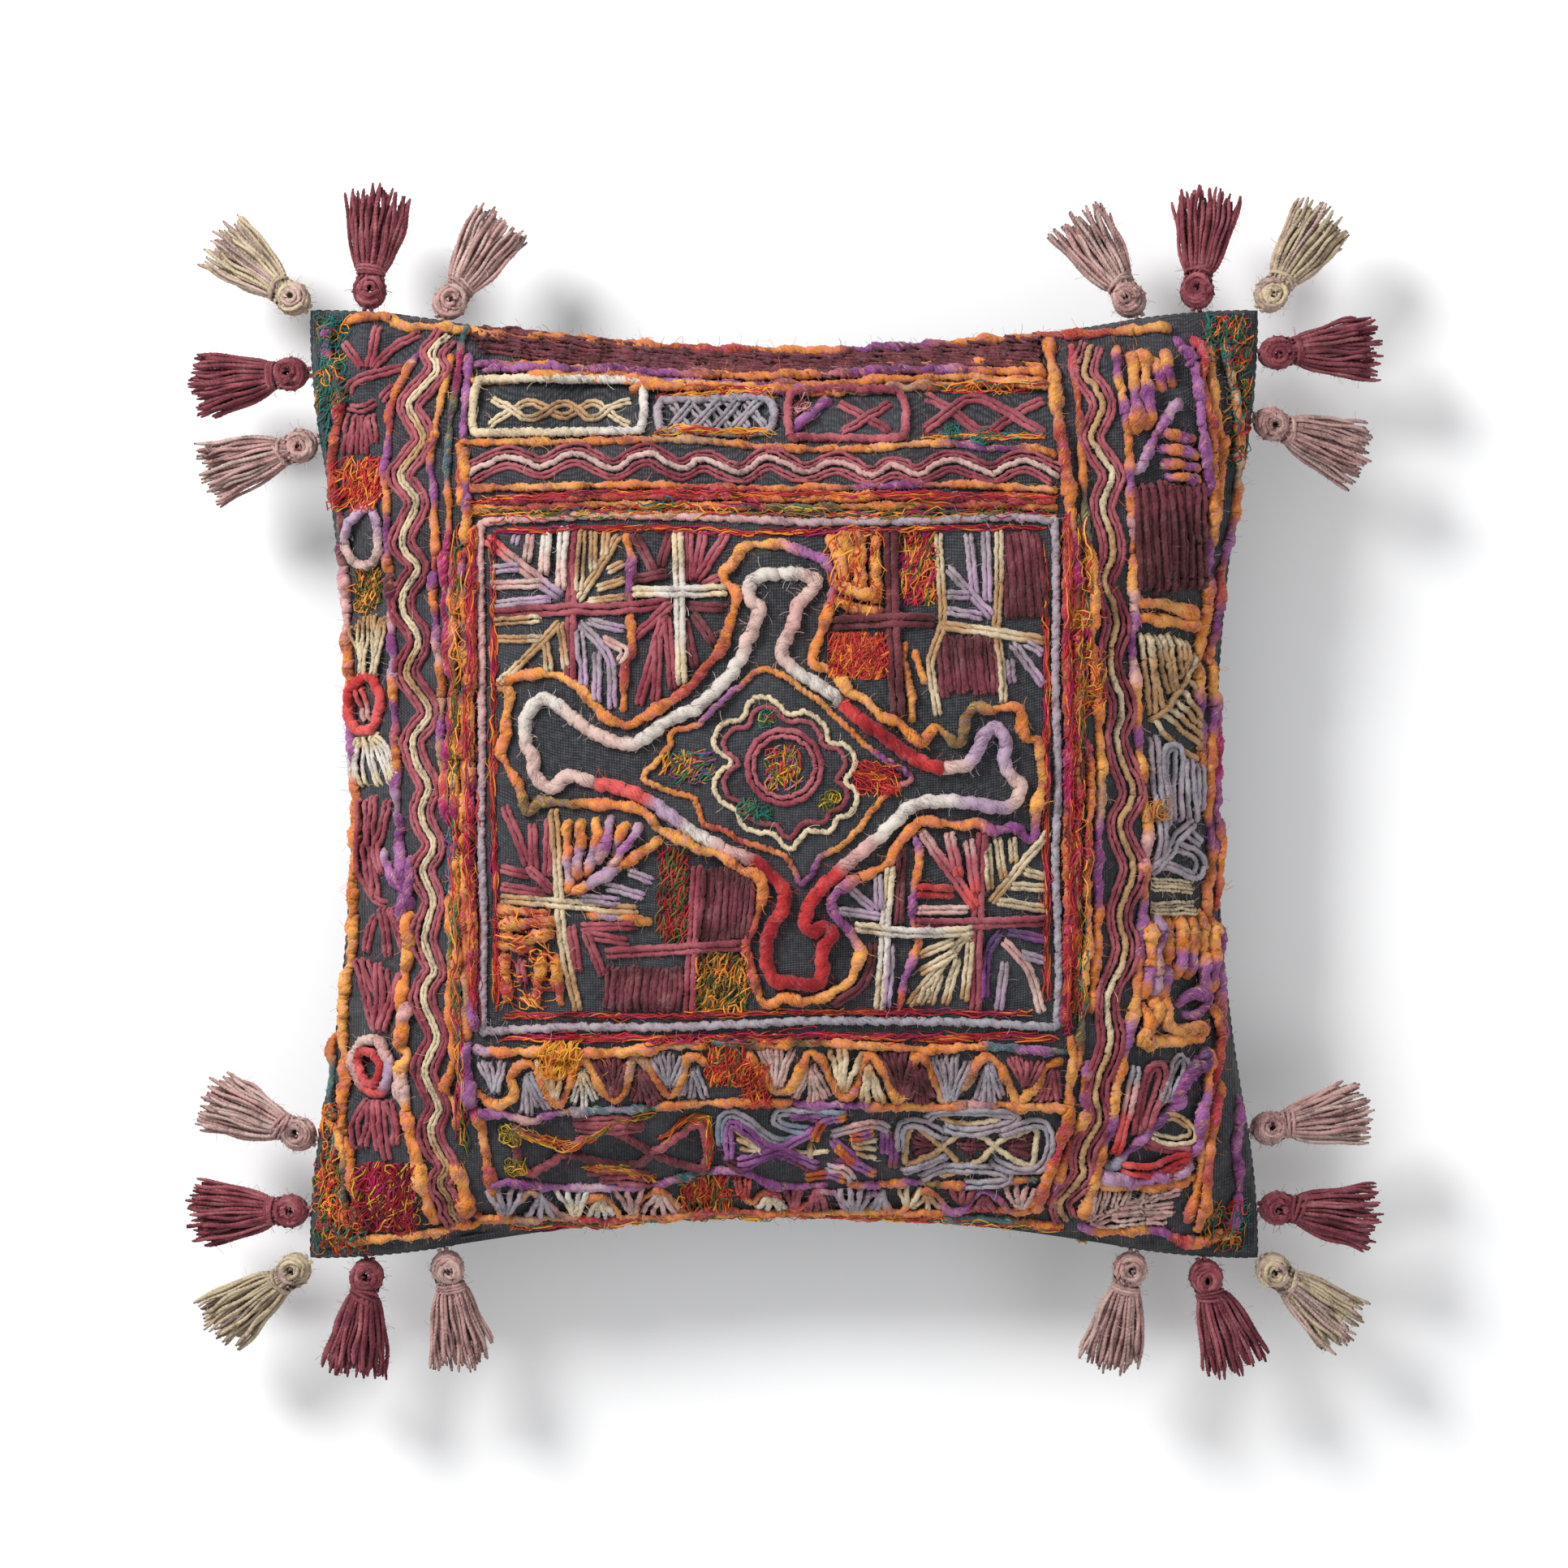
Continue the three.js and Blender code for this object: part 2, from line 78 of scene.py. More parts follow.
def fast_noise(x, y, seed, scale):
    """Smooth noise from -1 to 1 over the plan, as a sum of a few slanted waves."""
    rng = random.Random(seed)
    total = np.zeros_like(x, dtype=float)
    for _ in range(7):
        angle, freq, phase = rng.uniform(0, math.tau), rng.uniform(0.6, 1.7) / scale, rng.uniform(0, math.tau)
        total += np.sin((x * math.cos(angle) + y * math.sin(angle)) * freq * math.tau + phase)
    return total / 3.5


def cover_grid():
    """Plan and height of the two faces, as arrays over the panel's own grid."""
    s = np.linspace(-1, 1, CELLS + 1)
    t = 0.55 * s + 0.45 * np.sin(math.pi / 2 * s)
    u, v = np.meshgrid(t, t, indexing="ij")
    x = u * (HALF - side_bow(v * HALF))
    y = v * (HALF - side_bow(u * HALF))
    full = np.maximum(0, (1 - u * u) * (1 - v * v)) ** CROWN_POWER
    seam = SEAM_Z - CORNER_DIP * np.abs(x * y / HALF ** 2) ** 6
    return u, v, x, y, full, seam


def linked(name, mesh):
    obj = bpy.data.objects.new(name, mesh)
    bpy.context.scene.collection.objects.link(obj)
    return obj


def mesh_of(name, points, faces):
    mesh = bpy.data.meshes.new(name)
    mesh.from_pydata([tuple(p) for p in points], [], faces)
    mesh.validate()
    mesh.shade_smooth()
    return mesh


def grid_faces(n, offset=0, flip=False):
    """Quads of an n by n grid of points, numbered row by row."""
    out = []
    for i in range(n - 1):
        for j in range(n - 1):
            a = offset + i * n + j
            quad = (a, a + n, a + n + 1, a + 1)
            out.append(quad[::-1] if flip else quad)
    return out


def inflate():
    """The two faces after the filling has pushed the cloth out, as two arrays of points."""
    u, v, x, y, full, seam = cover_grid()
    n = CELLS + 1
    pucker = fast_noise(x, y, 11, 0.060) * 0.0011 + fast_noise(x, y, 12, 0.024) * 0.0006
    start = 0.965 * CROWN * full
    front = np.stack([x, y, seam + start + pucker * (full > 0)], -1).reshape(-1, 3)
    back = np.stack([x, y, np.maximum(seam - start - pucker * (full > 0), 0)], -1).reshape(-1, 3)
    edge = ((np.abs(u) > 0.9999) | (np.abs(v) > 0.9999)).reshape(-1)
    back_index = np.arange(n * n)
    back_index[~edge] = n * n + np.arange((~edge).sum())
    points = np.concatenate([front, back[~edge]])
    faces = grid_faces(n) + [tuple(int(back_index[k]) for k in q) for q in grid_faces(n, flip=True)]
    cloth = linked("cloth_form", mesh_of("cloth_form", points, faces))
    pins = cloth.vertex_groups.new(name="seam")
    pins.add([int(k) for k in np.flatnonzero(edge)], 1.0, "REPLACE")
    sim = cloth.modifiers.new("Cloth", "CLOTH")
    fabric = sim.settings
    fabric.quality = 5
    fabric.mass = 0.3
    fabric.tension_stiffness = fabric.compression_stiffness = 15
    fabric.bending_stiffness = 0.6
    fabric.shrink_min = -0.035
    fabric.use_pressure = True
    fabric.uniform_pressure_force = 3.5
    fabric.effector_weights.gravity = 0
    fabric.vertex_group_mass = "seam"
    sim.collision_settings.use_collision = False
    scene = bpy.context.scene
    for step in range(1, 21):
        scene.frame_set(step)
    shaped = cloth.evaluated_get(bpy.context.evaluated_depsgraph_get()).to_mesh()
    moved = np.empty(len(points) * 3)
    shaped.vertices.foreach_get("co", moved)
    cloth.modifiers.remove(sim)
    bpy.data.objects.remove(cloth)
    scene.frame_set(1)
    shift = moved.reshape(-1, 3) - points
    length = np.linalg.norm(shift, axis=1, keepdims=True)
    shift *= np.tanh(length / CLOTH_CAP) * CLOTH_CAP / np.maximum(length, 1e-9)
    points = points + shift
    front = points[:n * n].copy()
    back = points[back_index].copy()
    back[:, 2] = np.maximum(back[:, 2], 0)
    return front, back


def opened_for_zip(points, face):
    """The edge of a face along the bottom seam, lifted off the seam so that the zip shows."""
    x, y, z = points[:, 0], points[:, 1], points[:, 2]
    along = np.clip((ZIP_REACH - np.abs(x)) / 0.012, 0, 1)
    near = np.clip((-0.150 - y) / 0.03, 0, 1)
    gap = LIP * along * along * (3 - 2 * along) * near
    out = points.copy()
    out[:, 2] = SEAM_Z + face * np.sqrt((z - SEAM_Z) ** 2 + gap ** 2) * np.where(face *
            (z - SEAM_Z) < -0.001, -1, 1)
    return out


def shell(name, points, face, wall, hem=0.0):
    """One face as a thin closed sheet. A hem turns the cloth in along the seam."""
    n = CELLS + 1
    faces = grid_faces(n, flip=face < 0)
    points = [Vector(p) for p in points]
    if hem:
        ring = [i * n for i in range(n)]            # the bottom side, from left to right
        first = len(points)
        for k in ring:
            points.append(points[k] + Vector((0, hem, 0)))
        for i in range(n - 1):
            quad = (ring[i], first + i, first + i + 1, ring[i + 1])
            faces.append(quad[::-1] if face > 0 else quad)
    obj = linked(name, mesh_of(name, points, faces))
    thick = obj.modifiers.new("wall", "SOLIDIFY")
    thick.thickness = wall
    thick.offset = -1
    return baked(obj)


def baked(obj):
    """Applies everything on an object to its mesh."""
    view = bpy.context.evaluated_depsgraph_get()
    mesh = bpy.data.meshes.new_from_object(obj.evaluated_get(view))
    obj.modifiers.clear()
    obj.data = mesh
    mesh.shade_smooth()
    return obj


def linear(rgb):
    """An 8-bit colour as linear light."""
    out = []
    for c in rgb:
        c /= 255
        out.append(c / 12.92 if c <= 0.04045 else ((c + 0.055) / 1.055) ** 2.4)
    return out


class Nodes:
    """A short way to wire a node tree."""

    def __init__(self, tree):
        self.tree = tree

    def add(self, kind, links=None, **settings):
        node = self.tree.nodes.new(kind)
        for key, value in settings.items():
            setattr(node, key, value)
        for key, value in (links or {}).items():
            socket = node.inputs[key]
            if isinstance(value, bpy.types.NodeSocket):
                self.tree.links.new(value, socket)
            elif hasattr(socket, "default_value"):
                socket.default_value = value
        return node

    def math(self, operation, a, b=0.0, c=0.0):
        return self.add("ShaderNodeMath", {0: a, 1: b, 2: c}, operation=operation).outputs[0]

    def mix(self, factor, a, b, blend="MIX"):
        node = self.add("ShaderNodeMix", data_type="RGBA", blend_type=blend)
        for socket, value in ((node.inputs[0], factor), (node.inputs[6], a), (node.inputs[7], b)):
            if isinstance(value, bpy.types.NodeSocket):
                self.tree.links.new(value, socket)
            else:
                socket.default_value = value if isinstance(value, float) else (*value,
                        1) if len(value) == 3 else value
        return node.outputs[2]

    def ramp(self, value, low, high):
        node = self.add("ShaderNodeMapRange", {0: value, 1: low, 2: high, 3: 0.0, 4: 1.0},
                        interpolation_type="SMOOTHSTEP")
        return node.outputs[0]


def node_group(name, inputs, outputs):
    group = bpy.data.node_groups.new(name, "ShaderNodeTree")
    for label, kind, default in inputs:
        socket = group.interface.new_socket(label, in_out="INPUT", socket_type=kind)
        if default is not None:
            socket.default_value = default
    for label, kind in outputs:
        group.interface.new_socket(label, in_out="OUTPUT", socket_type=kind)
    n = Nodes(group)
    return n, n.add("NodeGroupInput"), n.add("NodeGroupOutput")


def wire(n, sink, **values):
    for key, value in values.items():
        n.tree.links.new(value, sink.inputs[key.replace("_", " ")])


# Woven cloth: threads over and under each other both ways, with thick and thin places and stray pale fibres.
# Its colour also holds painted light: a painted highlight on the crowns of the threads and painted shade in
# the low places of the weave.
n, gin, gout = node_group(
    "woven_cloth",
    [("Thread", "NodeSocketColor", (0.06, 0.06, 0.07, 1)), ("Fleck", "NodeSocketColor", (0.2, 0.2, 0.22, 1)),
     ("Threads per metre", "NodeSocketFloat", 780.0), ("Depth", "NodeSocketFloat", 0.0004)],
    [("Colour", "NodeSocketColor"), ("Height", "NodeSocketFloat"), ("Normal", "NodeSocketVector")])
place = n.add("ShaderNodeTexCoord").outputs["Object"]
warped = n.add("ShaderNodeVectorMath", {
    0: place, 1: n.add("ShaderNodeVectorMath", {
        0: n.add("ShaderNodeTexNoise", {"Vector": place, "Scale": 55.0, "Detail": 3.0}).outputs["Color"],
        1: (0.0016, 0.0016, 0.0016)}, operation="MULTIPLY").outputs[0]}, operation="ADD").outputs[0]
axes = n.add("ShaderNodeSeparateXYZ", {0: warped}).outputs
across = n.math("MULTIPLY", axes["X"], gin.outputs["Threads per metre"])
up = n.math("MULTIPLY", n.math("ADD", axes["Y"], axes["Z"]), gin.outputs["Threads per metre"])
turn = n.math("MULTIPLY", n.math("FLOOR", up), math.pi)
turn2 = n.math("MULTIPLY", n.math("FLOOR", across), math.pi)
warp = n.math("MULTIPLY", n.math("ABSOLUTE", n.math("SINE", n.math("MULTIPLY", across, math.pi))),
              n.math("MULTIPLY_ADD", n.math("SINE", n.math("MULTIPLY_ADD", up, math.pi, turn2)), 0.5, 0.5))
weft = n.math("MULTIPLY", n.math("ABSOLUTE", n.math("SINE", n.math("MULTIPLY", up, math.pi))),
              n.math("MULTIPLY_ADD", n.math("SINE", n.math("MULTIPLY_ADD", across, math.pi, turn)), -0.5,
                     0.5))
height = n.math("MAXIMUM", warp, weft)
slub = n.add("ShaderNodeTexNoise", {"Vector": place, "Scale": 420.0, "Detail": 4.0,
                                    "Roughness": 0.7}).outputs["Fac"]
soft = n.add("ShaderNodeTexNoise", {"Vector": place, "Scale": 26.0, "Detail": 3.0}).outputs["Fac"]
# pale fibre flecks from the slub noise: partly real flecks, partly a painted highlight, since the weave height
# pushes them onto the crowns of the threads
fleck = n.ramp(n.math("ADD", n.math("MULTIPLY", height, 0.35), slub), 0.55, 1.0)
shade = n.mix(n.math("MULTIPLY", fleck, 0.85), gin.outputs["Thread"], gin.outputs["Fleck"])
# painted shade: the weave height darkens the sides of the threads and the gaps between them almost to black
shade = n.mix(n.math("MULTIPLY", n.math("SUBTRACT", 1.0, height), 0.55), shade, (0.008, 0.008, 0.01))
shade = n.mix(n.math("MULTIPLY", n.ramp(soft, 0.4, 0.7), 0.22), shade, gin.outputs["Fleck"])
bump_height = n.math("MULTIPLY_ADD", slub, 0.6, height)
bump = n.add("ShaderNodeBump", {"Height": bump_height, "Distance": gin.outputs["Depth"], "Strength": 0.9})
wire(n, gout, Colour=shade, Height=height, Normal=bump.outputs[0])
woven_cloth = n.tree


def cloth_material(name, thread, fleck, per_metre, depth, rough=0.92, sheen=0.35):
    material = bpy.data.materials.new(name)
    material.use_nodes = True
    n = Nodes(material.node_tree)
    shader = material.node_tree.nodes["Principled BSDF"]
    look = n.add("ShaderNodeGroup", node_tree=woven_cloth)
    look.inputs["Thread"].default_value = (*linear(thread), 1)
    look.inputs["Fleck"].default_value = (*linear(fleck), 1)
    look.inputs["Threads per metre"].default_value = per_metre
    look.inputs["Depth"].default_value = depth
    n.tree.links.new(look.outputs["Colour"], shader.inputs["Base Color"])
    n.tree.links.new(look.outputs["Normal"], shader.inputs["Normal"])
    shader.inputs["Roughness"].default_value = rough
    shader.inputs["Sheen Weight"].default_value = sheen
    shader.inputs["Sheen Roughness"].default_value = 0.5
    return material


def settle(obj, material, body, slot, *nodes):
    """Gives a finished piece its material and the body it moves with, and hides the imported nodes it
    replaces.
    """
    obj.data.materials.clear()
    obj.data.materials.append(material)
    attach(obj, body)
    if nodes:
        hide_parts(*nodes)
    return obj


canvas = cloth_material("charcoal_canvas", (24, 26, 31), (82, 84, 90), 790.0, 0.0006, sheen=0.08)
face_points, back_points = inflate()
front_surface = opened_for_zip(face_points, 1)
back_surface = opened_for_zip(back_points, -1)
cover_front = shell("cover_front_canvas", front_surface, 1, CANVAS_WALL, hem=0.0035)
cover_back = shell("cover_back_canvas", back_surface, -1, CANVAS_WALL, hem=0.0035)
settle(cover_front, canvas, "pillow", "canvas", "cover_front")
settle(cover_back, canvas, "pillow", "canvas", "cover_back")


# ----------------------------------------------------------------------------------------------------------
# Inner. A white cotton ticking pad, cut a little smaller than the cover, stuffed with loose polyester
# fibre. Only the zip opening would show it.
# ----------------------------------------------------------------------------------------------------------
def drawn_in(points, plan, rise):
    out = points.copy()
    out[:, :2] *= plan
    out[:, 2] = SEAM_Z + (out[:, 2] - SEAM_Z) * rise
    return out


ticking = cloth_material("cotton_ticking", (226, 222, 212), (244, 242, 236), 1100.0, 0.0002, sheen=0.1)
fibre = cloth_material("fibre_filling", (236, 236, 232), (250, 250, 248), 320.0, 0.0012, rough=1.0, sheen=0.6)
for face, side, surface in ((1, "front", face_points), (-1, "back", back_points)):
    pad = shell("ticking_" + side + "_cotton", drawn_in(surface, 0.955, 0.955), face, 0.0007)
    settle(pad, ticking, "pillow", "ticking", "ticking_" + side)
points = np.concatenate([drawn_in(face_points, 0.94, 0.93), drawn_in(back_points, 0.94, 0.93)])
count = (CELLS + 1) ** 2
fill_mesh = mesh_of("fibre_fill_wad", points, grid_faces(CELLS + 1) + grid_faces(CELLS + 1, count, True))
fibre_fill = linked("fibre_fill_wad", fill_mesh)
weld = fibre_fill.modifiers.new("weld", "WELD")
weld.merge_threshold = 0.00005
settle(baked(fibre_fill), fibre, "pillow", "fibre", "fibre_fill")


# ----------------------------------------------------------------------------------------------------------
# Border cord, and the way every yarn here is made. A soft grey-lilac cord is couched in a square round the
# middle of the face. Each yarn is two plies twisted together, swept along its own route over the cloth,
# with loose fibres.
# ----------------------------------------------------------------------------------------------------------
def sweep_tree():
    """Geometry nodes: routes with a radius, twist and colour become plied yarn with stray fibres."""
    tree = bpy.data.node_groups.new("plied_yarn", "GeometryNodeTree")
    face = tree.interface
    face.new_socket("Geometry", in_out="INPUT", socket_type="NodeSocketGeometry")
    for label, kind, default in (("Sides", "NodeSocketInt", 8), ("Ply depth", "NodeSocketFloat", 0.5),
                                 ("Fibres per area", "NodeSocketFloat", 0.0),
                                 ("Fibre length", "NodeSocketFloat", 0.003),
                                 ("Fibre width", "NodeSocketFloat", 0.00006), ("Seed", "NodeSocketInt", 3),
                                 ("Material", "NodeSocketMaterial", None)):
        socket = face.new_socket(label, in_out="INPUT", socket_type=kind)
        if default is not None:
            socket.default_value = default
    face.new_socket("Geometry", in_out="OUTPUT", socket_type="NodeSocketGeometry")
    n = Nodes(tree)
    gin, gout = n.add("NodeGroupInput").outputs, n.add("NodeGroupOutput")

    def attribute(label):
        return n.add("GeometryNodeInputNamedAttribute", {0: label}, data_type="FLOAT").outputs[0]

    rail = n.add("GeometryNodeMeshToCurve", {"Mesh": gin["Geometry"]}).outputs[0]
    rail = n.add("GeometryNodeSetCurveRadius", {"Curve": rail, "Radius": attribute("thick")}).outputs[0]
    rail = n.add("GeometryNodeSetCurveTilt", {"Curve": rail, "Tilt": attribute("twist")}).outputs[0]
    ring = n.add("GeometryNodeCurvePrimitiveCircle", {"Resolution": gin["Sides"], "Radius": 1.0}).outputs[0]
    spot = n.add("ShaderNodeSeparateXYZ", {0: n.add("GeometryNodeInputPosition").outputs[0]}).outputs
    waist = n.math("MULTIPLY_ADD", n.math("ABSOLUTE", spot["X"]), 0.75, 0.30)
    squeeze = n.add("ShaderNodeMix", {0: gin["Ply depth"], 2: 1.0, 3: waist}, data_type="FLOAT").outputs[0]
    lobed = n.add("ShaderNodeCombineXYZ", {0: spot["X"], 1: n.math("MULTIPLY", spot["Y"],
            squeeze)}).outputs[0]
    ring = n.add("GeometryNodeSetPosition", {"Geometry": ring, "Position": lobed}).outputs[0]
    ring = n.add("GeometryNodeStoreNamedAttribute", {
        "Geometry": ring, "Name": "spin", "Value": n.add("GeometryNodeInputPosition").outputs[0]},
        data_type="FLOAT_VECTOR", domain="POINT").outputs[0]
    links = {"Curve": rail, "Profile Curve": ring, "Fill Caps": True}
    tube_node = n.add("GeometryNodeCurveToMesh", links)
    if "Scale" in tube_node.inputs:
        tree.links.new(attribute("thick"), tube_node.inputs["Scale"])
    tube = n.add("GeometryNodeSetShadeSmooth", {0: tube_node.outputs[0]}).outputs[0]
    spread = n.add("GeometryNodeDistributePointsOnFaces",
                   {"Mesh": tube, "Density": gin["Fibres per area"], "Seed": gin["Seed"]})

    def scatter(low, high, offset, kind="FLOAT_VECTOR"):
        node = n.add("FunctionNodeRandomValue", data_type=kind)
        sockets = (0, 1) if kind == "FLOAT_VECTOR" else (2, 3)
        node.inputs[sockets[0]].default_value, node.inputs[sockets[1]].default_value = low, high
        tree.links.new(n.add("FunctionNodeIntegerMath", {0: gin["Seed"], 1: offset},
                             operation="ADD").outputs[0], node.inputs["Seed"])
        return node.outputs[0 if kind == "FLOAT_VECTOR" else 1]

    bend = n.add("GeometryNodeCurveQuadraticBezier", {"Resolution": 2})
    bend.inputs["Start"].default_value = (0, 0, -0.1)
    bend.inputs["Middle"].default_value = (0.1, 0, 0.45)
    bend.inputs["End"].default_value = (0.65, 0, 0.8)
    strip = n.add("GeometryNodeCurvePrimitiveLine")
    strip.inputs["Start"].default_value = (0, -1, 0)
    strip.inputs["End"].default_value = (0, 1, 0)
    flat = n.add("GeometryNodeCurveToMesh", {"Curve": n.add("GeometryNodeSetCurveRadius",
            {"Curve": bend.outputs[0], "Radius": n.math("DIVIDE", gin["Fibre width"],
            gin["Fibre length"])}).outputs[0], "Profile Curve": strip.outputs[0]})
    if "Scale" in flat.inputs:
        tree.links.new(n.math("DIVIDE", gin["Fibre width"], gin["Fibre length"]), flat.inputs["Scale"])
    aim = n.add("FunctionNodeRotateRotation", {"Rotation": spread.outputs["Rotation"],
                                               "Rotate By": n.add("FunctionNodeEulerToRotation",
            {0: scatter((-1.3, -1.3, 0), (1.3, 1.3, 6.28), 5)}).outputs[0],},
                rotation_space="LOCAL").outputs[0]
    size = n.math("MULTIPLY", gin["Fibre length"], scatter(0.4, 1.6, 9, "FLOAT"))
    fibres = n.add("GeometryNodeInstanceOnPoints", {
        "Points": spread.outputs[0], "Instance": flat.outputs[0], "Rotation": aim, "Scale": size}).outputs[0]
    both = n.add("GeometryNodeJoinGeometry")
    tree.links.new(fibres, both.inputs[0])
    tree.links.new(tube, both.inputs[0])
    real = n.add("GeometryNodeRealizeInstances", {0: both.outputs[0]}).outputs[0]
    done = n.add("GeometryNodeSetMaterial", {"Geometry": real, "Material": gin["Material"]}).outputs[0]
    tree.links.new(done, gout.inputs[0])
    return tree


yarn_tree = sweep_tree()

# Wool: matt fibres that run along the yarn and turn with its twist, each length a slightly different dye.
n, gin, gout = node_group(
    "wool_look",
    [("Dye", "NodeSocketColor", (0.5, 0.2, 0.2, 1)), ("Mottle", "NodeSocketFloat", 0.35),
     ("Depth", "NodeSocketFloat", 0.0005), ("Flecks", "NodeSocketFloat", 0.0)],
    [("Colour", "NodeSocketColor"), ("Normal", "NodeSocketVector")])
place = n.add("ShaderNodeTexCoord").outputs["Object"]
around = n.add("ShaderNodeSeparateXYZ", {0: n.add("ShaderNodeAttribute",
        attribute_name="spin").outputs["Vector"]}).outputs
along = n.math("MULTIPLY", n.add("ShaderNodeAttribute", attribute_name="run").outputs["Fac"], 55.0)
strand = n.add("ShaderNodeCombineXYZ", {0: around["X"], 1: around["Y"], 2: along}).outputs[0]
stripe = n.add("ShaderNodeTexNoise", {"Vector": strand, "Scale": 5.5, "Detail": 4.0,
                                      "Roughness": 0.7}).outputs["Fac"]
grain = n.add("ShaderNodeTexNoise", {"Vector": place, "Scale": 1100.0, "Detail": 4.0,
                                     "Roughness": 0.8}).outputs["Fac"]
fine = n.math("MULTIPLY_ADD", grain, 0.4, n.math("MULTIPLY", stripe, 0.6))
wide = n.add("ShaderNodeTexNoise", {"Vector": place, "Scale": 120.0, "Detail": 3.0}).outputs["Fac"]
tone = n.math("MULTIPLY", n.math("SUBTRACT", n.math("MULTIPLY_ADD", fine, 2.2, wide), 1.6),
              gin.outputs["Mottle"])
# carded-in flecks of other dyes, for the slub
hue = n.add("ShaderNodeTexNoise", {"Vector": place, "Scale": 260.0, "Detail": 2.0}).outputs["Fac"]
other = n.mix(n.ramp(hue, 0.44, 0.50), (0.62, 0.22, 0.03), (0.30, 0.06, 0.32))
other = n.mix(n.ramp(hue, 0.56, 0.60), other, (0.42, 0.02, 0.07))
other = n.mix(n.ramp(hue, 0.66, 0.69), other, (0.02, 0.16, 0.13))
other = n.mix(n.ramp(hue, 0.40, 0.35), other, (0.60, 0.40, 0.20))
amount = n.math("MULTIPLY", n.ramp(stripe, 0.50, 0.60), gin.outputs["Flecks"])
mixed = n.mix(amount, gin.outputs["Dye"], other)
dark = n.mix(n.ramp(tone, 0.04, -0.20), mixed, (0.30, 0.25, 0.27), "MULTIPLY")
lighter = n.mix(0.35, dark, (0.85, 0.76, 0.70))
pale = n.mix(n.math("MULTIPLY", n.ramp(tone, 0.02, 0.24), 0.45), dark, lighter)
fuzz = n.add("ShaderNodeBump", {"Height": fine, "Distance": gin.outputs["Depth"], "Strength": 1.0})
wire(n, gout, Colour=pale, Normal=fuzz.outputs[0])
wool_look = n.tree


def wool_material(name, mottle=0.5, rough=0.95, sheen=0.12, depth=0.0005, flecks=0.0):
    material = bpy.data.materials.new(name)
    material.use_nodes = True
    n = Nodes(material.node_tree)
    shader = material.node_tree.nodes["Principled BSDF"]
    dye = n.add("ShaderNodeAttribute", attribute_name="dye", attribute_type="GEOMETRY").outputs["Color"]
    look = n.add("ShaderNodeGroup", node_tree=wool_look)
    n.tree.links.new(dye, look.inputs["Dye"])
    look.inputs["Mottle"].default_value = mottle
    look.inputs["Depth"].default_value = depth
    look.inputs["Flecks"].default_value = flecks
    n.tree.links.new(look.outputs["Colour"], shader.inputs["Base Color"])
    n.tree.links.new(look.outputs["Normal"], shader.inputs["Normal"])
    shader.inputs["Roughness"].default_value = rough
    shader.inputs["Sheen Weight"].default_value = sheen
    shader.inputs["Sheen Roughness"].default_value = 0.6
    shader.inputs["Specular IOR Level"].default_value = 0.2
    return material


def swept(name, strands, material, sides=8, ply=0.5, fibres=0.0, fibre_length=0.003, fibre_width=0.00006,
          seed=3):
    """Strands are (points, radii, dyes, turns per metre). They become one piece of plied yarn."""
    points, edges, thick, twist, run, dye = [], [], [], [], [], []
    for route, radius, colours, turns in strands:
        start = sum(len(p) for p in points)
        steps = np.linalg.norm(np.diff(route, axis=0), axis=1)
        points.append(route)
        edges += [(start + k, start + k + 1) for k in range(len(route) - 1)]
        thick.append(np.broadcast_to(radius, len(route)))
        run.append(np.concatenate([[0], np.cumsum(steps)]) + start * 0.37)
        twist.append((run[-1] - run[-1][0]) * turns * math.tau)
        dye.append(np.broadcast_to(colours, (len(route), 3)))
    mesh = bpy.data.meshes.new(name)
    mesh.from_pydata(np.concatenate(points).tolist(), edges, [])
    for label, values in (("thick", thick), ("twist", twist), ("run", run)):
        mesh.attributes.new(label, "FLOAT", "POINT").data.foreach_set("value",
                np.concatenate(values).astype(np.float32))
    rgba = np.concatenate([np.concatenate(dye), np.ones((len(mesh.vertices), 1))], 1).astype(np.float32)
    mesh.attributes.new("dye", "FLOAT_COLOR", "POINT").data.foreach_set("color", rgba.reshape(-1))
    obj = linked(name, mesh)
    sweep = obj.modifiers.new("sweep", "NODES")
    sweep.node_group = yarn_tree
    ids = {s.name: s.identifier for s in yarn_tree.interface.items_tree if s.in_out == "INPUT"}
    for label, value in (("Sides", sides), ("Ply depth", ply), ("Fibres per area", fibres),
                         ("Fibre length", fibre_length), ("Fibre width", fibre_width), ("Seed", seed),
                         ("Material", material)):
        sweep[ids[label]] = value
    baked(obj)
    return obj


COLOURS = {key: linear(rgb) for key, rgb in {
    "rose": (168, 84, 94), "deep_rose": (142, 56, 70), "pink": (204, 158, 152), "pale_pink": (210, 178, 168),
    "cream": (214, 194, 160), "tan": (184, 144, 102), "white": (212, 203, 193), "lilac_grey": (166, 150, 158),
    "grey": (158, 152, 160), "blue_grey": (128, 138, 156), "maroon": (92, 36, 42), "plum": (120, 52, 62),
    "orange": (218, 128, 36), "amber": (228, 158, 66), "rust": (178, 70, 32), "purple": (128, 64, 126),
    "violet": (154, 96, 152), "lilac": (176, 148, 172), "aubergine": (82, 52, 98), "magenta": (164, 16, 88),
    "crimson": (146, 16, 30), "red": (186, 44, 46), "coral": (208, 82, 80), "teal": (14, 104, 98),
    "green": (56, 84, 44), "olive": (114, 102, 36), "yellow": (204, 158, 42), "brown": (84, 44, 26),
    "charcoal": (50, 52, 60)}.items()}

face_form = [Vector(p) for p in front_surface]
face_tree = BVHTree.FromPolygons(face_form, grid_faces(CELLS + 1))
pile = np.zeros((520, 520))     # how high the stitching already stands on the cloth, one cell a millimetre


